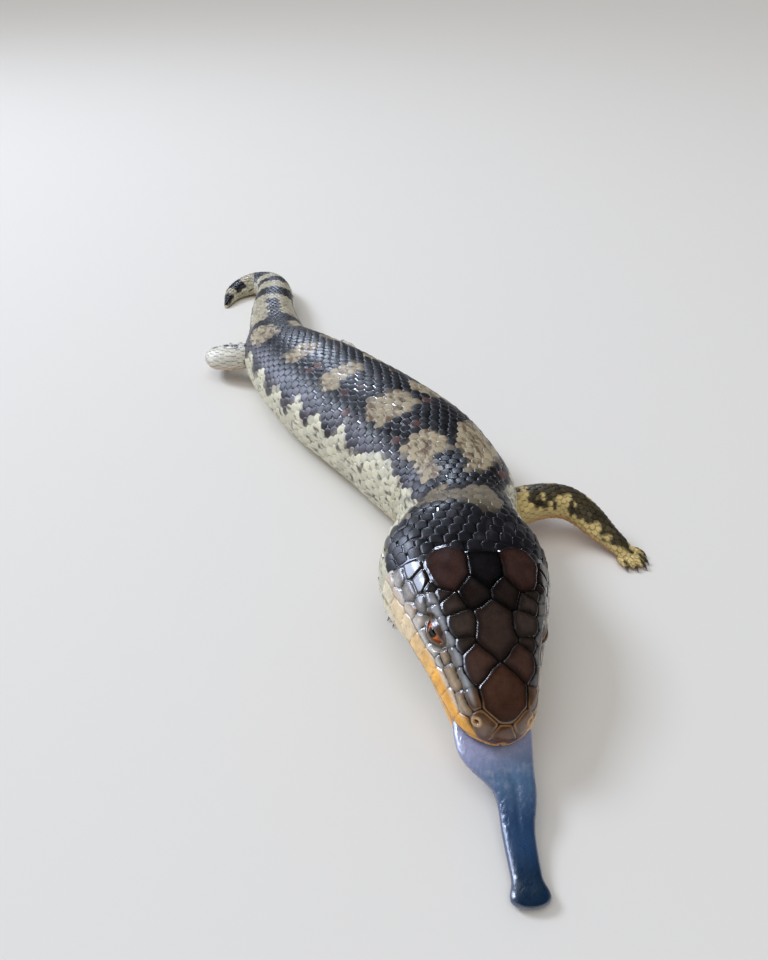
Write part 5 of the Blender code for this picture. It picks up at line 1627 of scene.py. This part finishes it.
@dataclass(frozen=True)
class Studio:
    """Pale floor, soft light and the camera at the photograph's viewing angle."""

    lens: float = 36.0
    height: float = 0.07796
    tilt: float = 54.0
    floor: float = 6.0

    def camera(self) -> None:
        """Camera over the plan's origin, looking along the animal's head."""
        data = bpy.data.cameras.new("camera")
        data.lens, data.sensor_width, data.sensor_fit = self.lens, 36.0, "HORIZONTAL"
        data.clip_start, data.clip_end = 0.005, 20.0
        made = linked("camera", data)
        made.location = (-PLAN_CENTRE[0], -PLAN_CENTRE[1], self.height)
        made.rotation_euler = (math.radians(self.tilt), 0, 0)
        bpy.context.scene.camera = made

    def lamp(self, name: str, place: tuple, size: float, power: float, tone: str, sheen: bool) -> None:
        """One square softbox turned to the middle; `sheen` keeps it to reflections."""
        data = bpy.data.lights.new(name, "AREA")
        data.shape, data.size, data.energy = "SQUARE", size, power
        data.color = tuple(linear(tone))
        made = linked(name, data)
        made.location = place
        made.rotation_euler = (-Vector(place)).to_track_quat("-Z", "Y").to_euler()
        made.visible_diffuse = not sheen

    def sky(self) -> None:
        """An even light from high above, as wide as an overcast sky's bright part."""
        data = bpy.data.lights.new("sky_light", "SUN")
        data.energy, data.angle = 1.1, math.radians(60)
        data.color = tuple(linear("fffaf4"))
        made = linked("sky_light", data)
        made.rotation_euler = (math.radians(18), math.radians(-10), 0)
        made.visible_glossy = False

    def ground(self) -> None:
        """A wide matt floor of pale grey card."""
        half = self.floor / 2
        corners = np.array([(-half, -half, 0), (half, -half, 0), (half, half, 0), (-half, half, 0)])
        made = new_material("floor_card")
        tree = made.node_tree
        place = add_node(tree, "ShaderNodeTexCoord").outputs["Object"]
        grain = add_node(
            tree, "ShaderNodeTexNoise", {"Scale": 1 / (2.5 * MM), "Detail": 3.0}, {"Vector": place},
        ).outputs["Fac"]
        gloss = add_node(
            tree, "ShaderNodeMapRange", {"To Min": 0.75, "To Max": 0.9}, {"Value": grain},
        ).outputs["Result"]
        shader = add_node(
            tree, "ShaderNodeBsdfPrincipled",
            {"Base Color": (*linear("d8d6d2"), 1.0), "Specular IOR Level": 0.0}, {"Roughness": gloss},
        )
        add_node(tree, "ShaderNodeOutputMaterial", None, {"Surface": shader.outputs["BSDF"]})
        make_object("floor", corners, np.array([(0, 1, 2), (0, 2, 3)]), made)

    def build(self) -> None:
        """Sets the camera, the lamps, the floor and the grey surroundings."""
        self.camera()
        self.ground()
        self.lamp("window_light", (-0.46, 0.14, 0.5), 0.22, 3.0, "e4eeff", False)
        self.lamp("back_light", (-0.12, 0.75, 0.55), 0.2, 5.0, "dbe8ff", True)
        self.lamp("low_sky", (-0.9, 0.28, 0.46), 0.72, 18.0, "d4e2ff", True)
        self.sky()
        world = bpy.data.worlds.new("surroundings")
        bpy.context.scene.world = world
        world.use_nodes = True
        tree = world.node_tree
        tree.nodes.clear()
        light = add_node(tree, "ShaderNodeBackground", {"Color": (0.8, 0.82, 0.86, 1.0), "Strength": 0.5})
        add_node(tree, "ShaderNodeOutputWorld", None, {"Surface": light.outputs["Background"]})
        world.cycles_visibility.glossy = False


def inside_trunk(sheet: Sheet, points: np.ndarray, depth: float) -> np.ndarray:
    """Which points lie deeper than `depth` metres under the trunk's surface."""
    ground = sheet.points[::3, ::6].reshape(-1, 3)
    normals = sheet.normals[::3, ::6].reshape(-1, 3)
    result = np.zeros(len(points), bool)
    for start in range(0, len(points), 400):
        chosen = points[start:start + 400]
        apart = (chosen**2).sum(1)[:, None] - 2 * chosen @ ground.T + (ground**2).sum(1)[None]
        nearest = apart.argmin(1)
        result[start:start + 400] = ((chosen - ground[nearest]) * normals[nearest]).sum(1) < -depth
    return result


@dataclass
class Skink:
    """The whole animal, made of one skin, its coat of scales, eyes, tongue and claws."""

    trunk: TrunkForm = field(default_factory=TrunkForm)
    plates: Plates = field(default_factory=Plates)
    markings: Markings = field(default_factory=Markings)
    eye: EyeForm = field(default_factory=EyeForm)
    tongue: TongueForm = field(default_factory=TongueForm)
    legs: tuple[LegForm, ...] = LEGS
    shape: ScaleShape = field(default_factory=ScaleShape)
    ear_space: float = 1.15
    scales_from: float = 13.9
    most_around: int = 34
    toe_scale: tuple[float, float] = (0.62, 0.5)
    leg_scale: tuple[float, float] = (0.95, 0.85)
    around_leg: tuple[int, int] = (22, 5)
    buried: float = 0.35
    seed: int = 5

    def limb_tubes(self) -> list[tuple[bool, LimbForm]]:
        """Every tube of the legs with whether it belongs to a foreleg: a leg, then its toes."""
        return [(leg.fore, tube) for leg in self.legs for tube in (leg.tube(), *leg.toe_tubes())]

    def trunk_sheet(self) -> Sheet:
        """The trunk as a table from behind the jaws to the tail's tip."""
        way = np.arange(12.0, self.trunk.length - 0.3, 0.4)
        around = np.linspace(0, TURN, 361)
        return Sheet(way, self.trunk.rings(way, around % TURN), around)

    def build_skin(self) -> tuple[Skin, bpy.types.Object]:
        """The closed skin under the scales, bare and plated on the head."""
        skin = Skin(self.trunk, self.plates, self.markings)
        skin.add_head()
        for number, (fore, tube) in enumerate(self.limb_tubes()):
            skin.add_limb(number, fore, tube)
        return skin, skin.build(SKIN.make(), self.eye)

    def build_coat(self, skin: Skin) -> list[bpy.types.Object]:
        """Overlapping scales over neck, body, tail, legs and toes."""
        rng = np.random.default_rng(self.seed)
        finish = SCALES.make()
        sheet = self.trunk_sheet()
        body = Coat(sheet, self.shape, rng, loose=1.0)
        width = ((12, 30, 60, 100, 125, 150, 166), (1.95, 1.6, 1.75, 1.5, 1.25, 1.1, 0.9))
        step = ((12, 20, 60, 100, 125, 150, 166), (1.2, 1.35, 1.3, 1.25, 1.15, 1.05, 0.75))
        places = body.lattice(self.scales_from, self.trunk.length - 0.5, width, step, self.most_around)
        around = sheet.read(sheet.around, places[:, 0], places[:, 1])[:, 0]
        ear = sheet.read(sheet.points, places[:, 0] + 0.6, places[:, 1])
        front = np.minimum(places[:, 0], self.trunk.head.length)
        kept = self.plates.coated(self.trunk.head.points(front, around)) > -0.3
        for turned in (EAR[1], TURN - EAR[1]):
            opening = self.trunk.head.world(self.trunk.head.place(EAR[0], turned)[0])
            kept &= np.linalg.norm(ear - opening, axis=1) > self.ear_space * MM

        def plan(way: np.ndarray, share: np.ndarray) -> np.ndarray:
            """Place of a scale's root on the skin's unwrap."""
            turned = sheet.read(sheet.around, way, share)[..., 0]
            return skin.outside_plan(way, np.where(turned > 3, turned - TURN, turned))

        pieces = body.build(
            "body_scales", places[kept], skin.coat_tint, self.markings.streaked, finish, plan,
        )
        limbs = [
            (fore, self.limb_scales(skin, sheet, number, fore, tube, rng))
            for number, (fore, tube) in enumerate(self.limb_tubes())
        ]
        for name, wanted in (("foreleg_scales", True), ("hindleg_scales", False)):
            pieces.append(self.joined(name, [part for fore, part in limbs if fore == wanted], finish))
        return pieces

    def limb_scales(
        self, skin: Skin, ground: Sheet, number: int, fore: bool, tube: LimbForm, rng: np.random.Generator,
    ) -> tuple:
        """Scales of one leg or toe: points, colours, unwrap and faces."""
        toe = tube.forward is None
        last = tube.keys[-1]
        sheet = tube.sheet(0.25 if toe else 0.3, last * (0.96 if toe else 0.985))
        coat = Coat(sheet, self.shape, rng, patterned=0.3)
        width, step = (((0,), (each,)) for each in (self.toe_scale if toe else self.leg_scale))
        places = coat.lattice(0.0, sheet.way[-1] - 0.2, width, step, *self.around_leg)
        points = sheet.read(sheet.points, places[:, 0], places[:, 1])
        places = places[~inside_trunk(ground, points, self.buried * MM)]

        def colour(way: np.ndarray, around: np.ndarray, points: np.ndarray) -> np.ndarray:
            """Colour of the leg's coat."""
            return self.markings.limb(fore, way, around, points)

        def plan(way: np.ndarray, share: np.ndarray) -> np.ndarray:
            """Place of a scale's root on the strip of its leg or toe."""
            return limb_plan(number, *np.broadcast_arrays(way / sheet.way[-1], share))

        def plain(tint: np.ndarray, way: np.ndarray, around: np.ndarray) -> np.ndarray:
            """No finer pattern than the mottling."""
            return tint

        return coat.arrays(places, colour, plain, plan, 0.6 * COAT_DEPTH)

    def joined(self, name: str, parts: list[tuple], finish: bpy.types.Material) -> bpy.types.Object:
        """Joins arrays of scales into one piece."""
        points, tint, patch, faces = zip(*parts)
        first = np.cumsum([0, *map(len, points[:-1])])
        faces = np.concatenate([each + start for each, start in zip(faces, first)])
        return make_object(
            name, np.concatenate(points), faces, finish, np.concatenate(tint), np.concatenate(patch),
        )

    def build_claws(self) -> bpy.types.Object:
        """The twenty claws in one mesh."""
        grids = []
        for rings in (rings for leg in self.legs for rings in leg.claws()):
            share = np.linspace(0, 1, len(rings))[:, None] + 0 * rings[..., 0]
            colour = mixed(Tone.CLAW_ROOT.light, Tone.CLAW_TIP.light, smooth(share, 0.45, 1.0))
            plan = np.stack(np.broadcast_arrays(share, np.linspace(0, 1, rings.shape[1])), -1)
            grids.append((rings, colour, plan))
        return welded_object("claws", grids, CLAW.make())

    def build(self) -> None:
        """Makes every piece and ties it to the frame."""
        skin, outside = self.build_skin()
        limbs = [f"{part}_{side.name.lower()}" for side in Side for part in (
            "upper_arm", "forearm", "forefoot", "thigh", "shank", "hindfoot",
        )]
        trunk = ("head", "lower_jaw", "neck", "torso", "tail_base", "tail_middle", "tail_end")
        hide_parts(*trunk, *limbs)
        pieces = [(outside, "scaled_skin")] + [(piece, "scaled_skin") for piece in self.build_coat(skin)]
        finish = EYE.make()
        for side in Side:
            ball = self.eye.build(side, finish)
            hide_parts(f"eye_{side.name.lower()}")
            pieces.append((ball, "eye"))
        tongue = self.tongue.build(TONGUE.make())
        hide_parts("tongue")
        pieces += [(tongue, "tongue"), (self.build_claws(), "scaled_skin")]
        for piece, slot in pieces:
            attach(piece, BODY)
            LOG.info("%s: %d triangles", piece.name, len(piece.data.polygons))


def main() -> None:
    """Loads the frame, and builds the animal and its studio."""
    logging.basicConfig(level=logging.INFO, format="%(message)s")
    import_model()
    bpy.context.scene.view_settings.view_transform = "Standard"
    Studio().build()
    Skink().build()


if __name__ == "__main__":
    main()
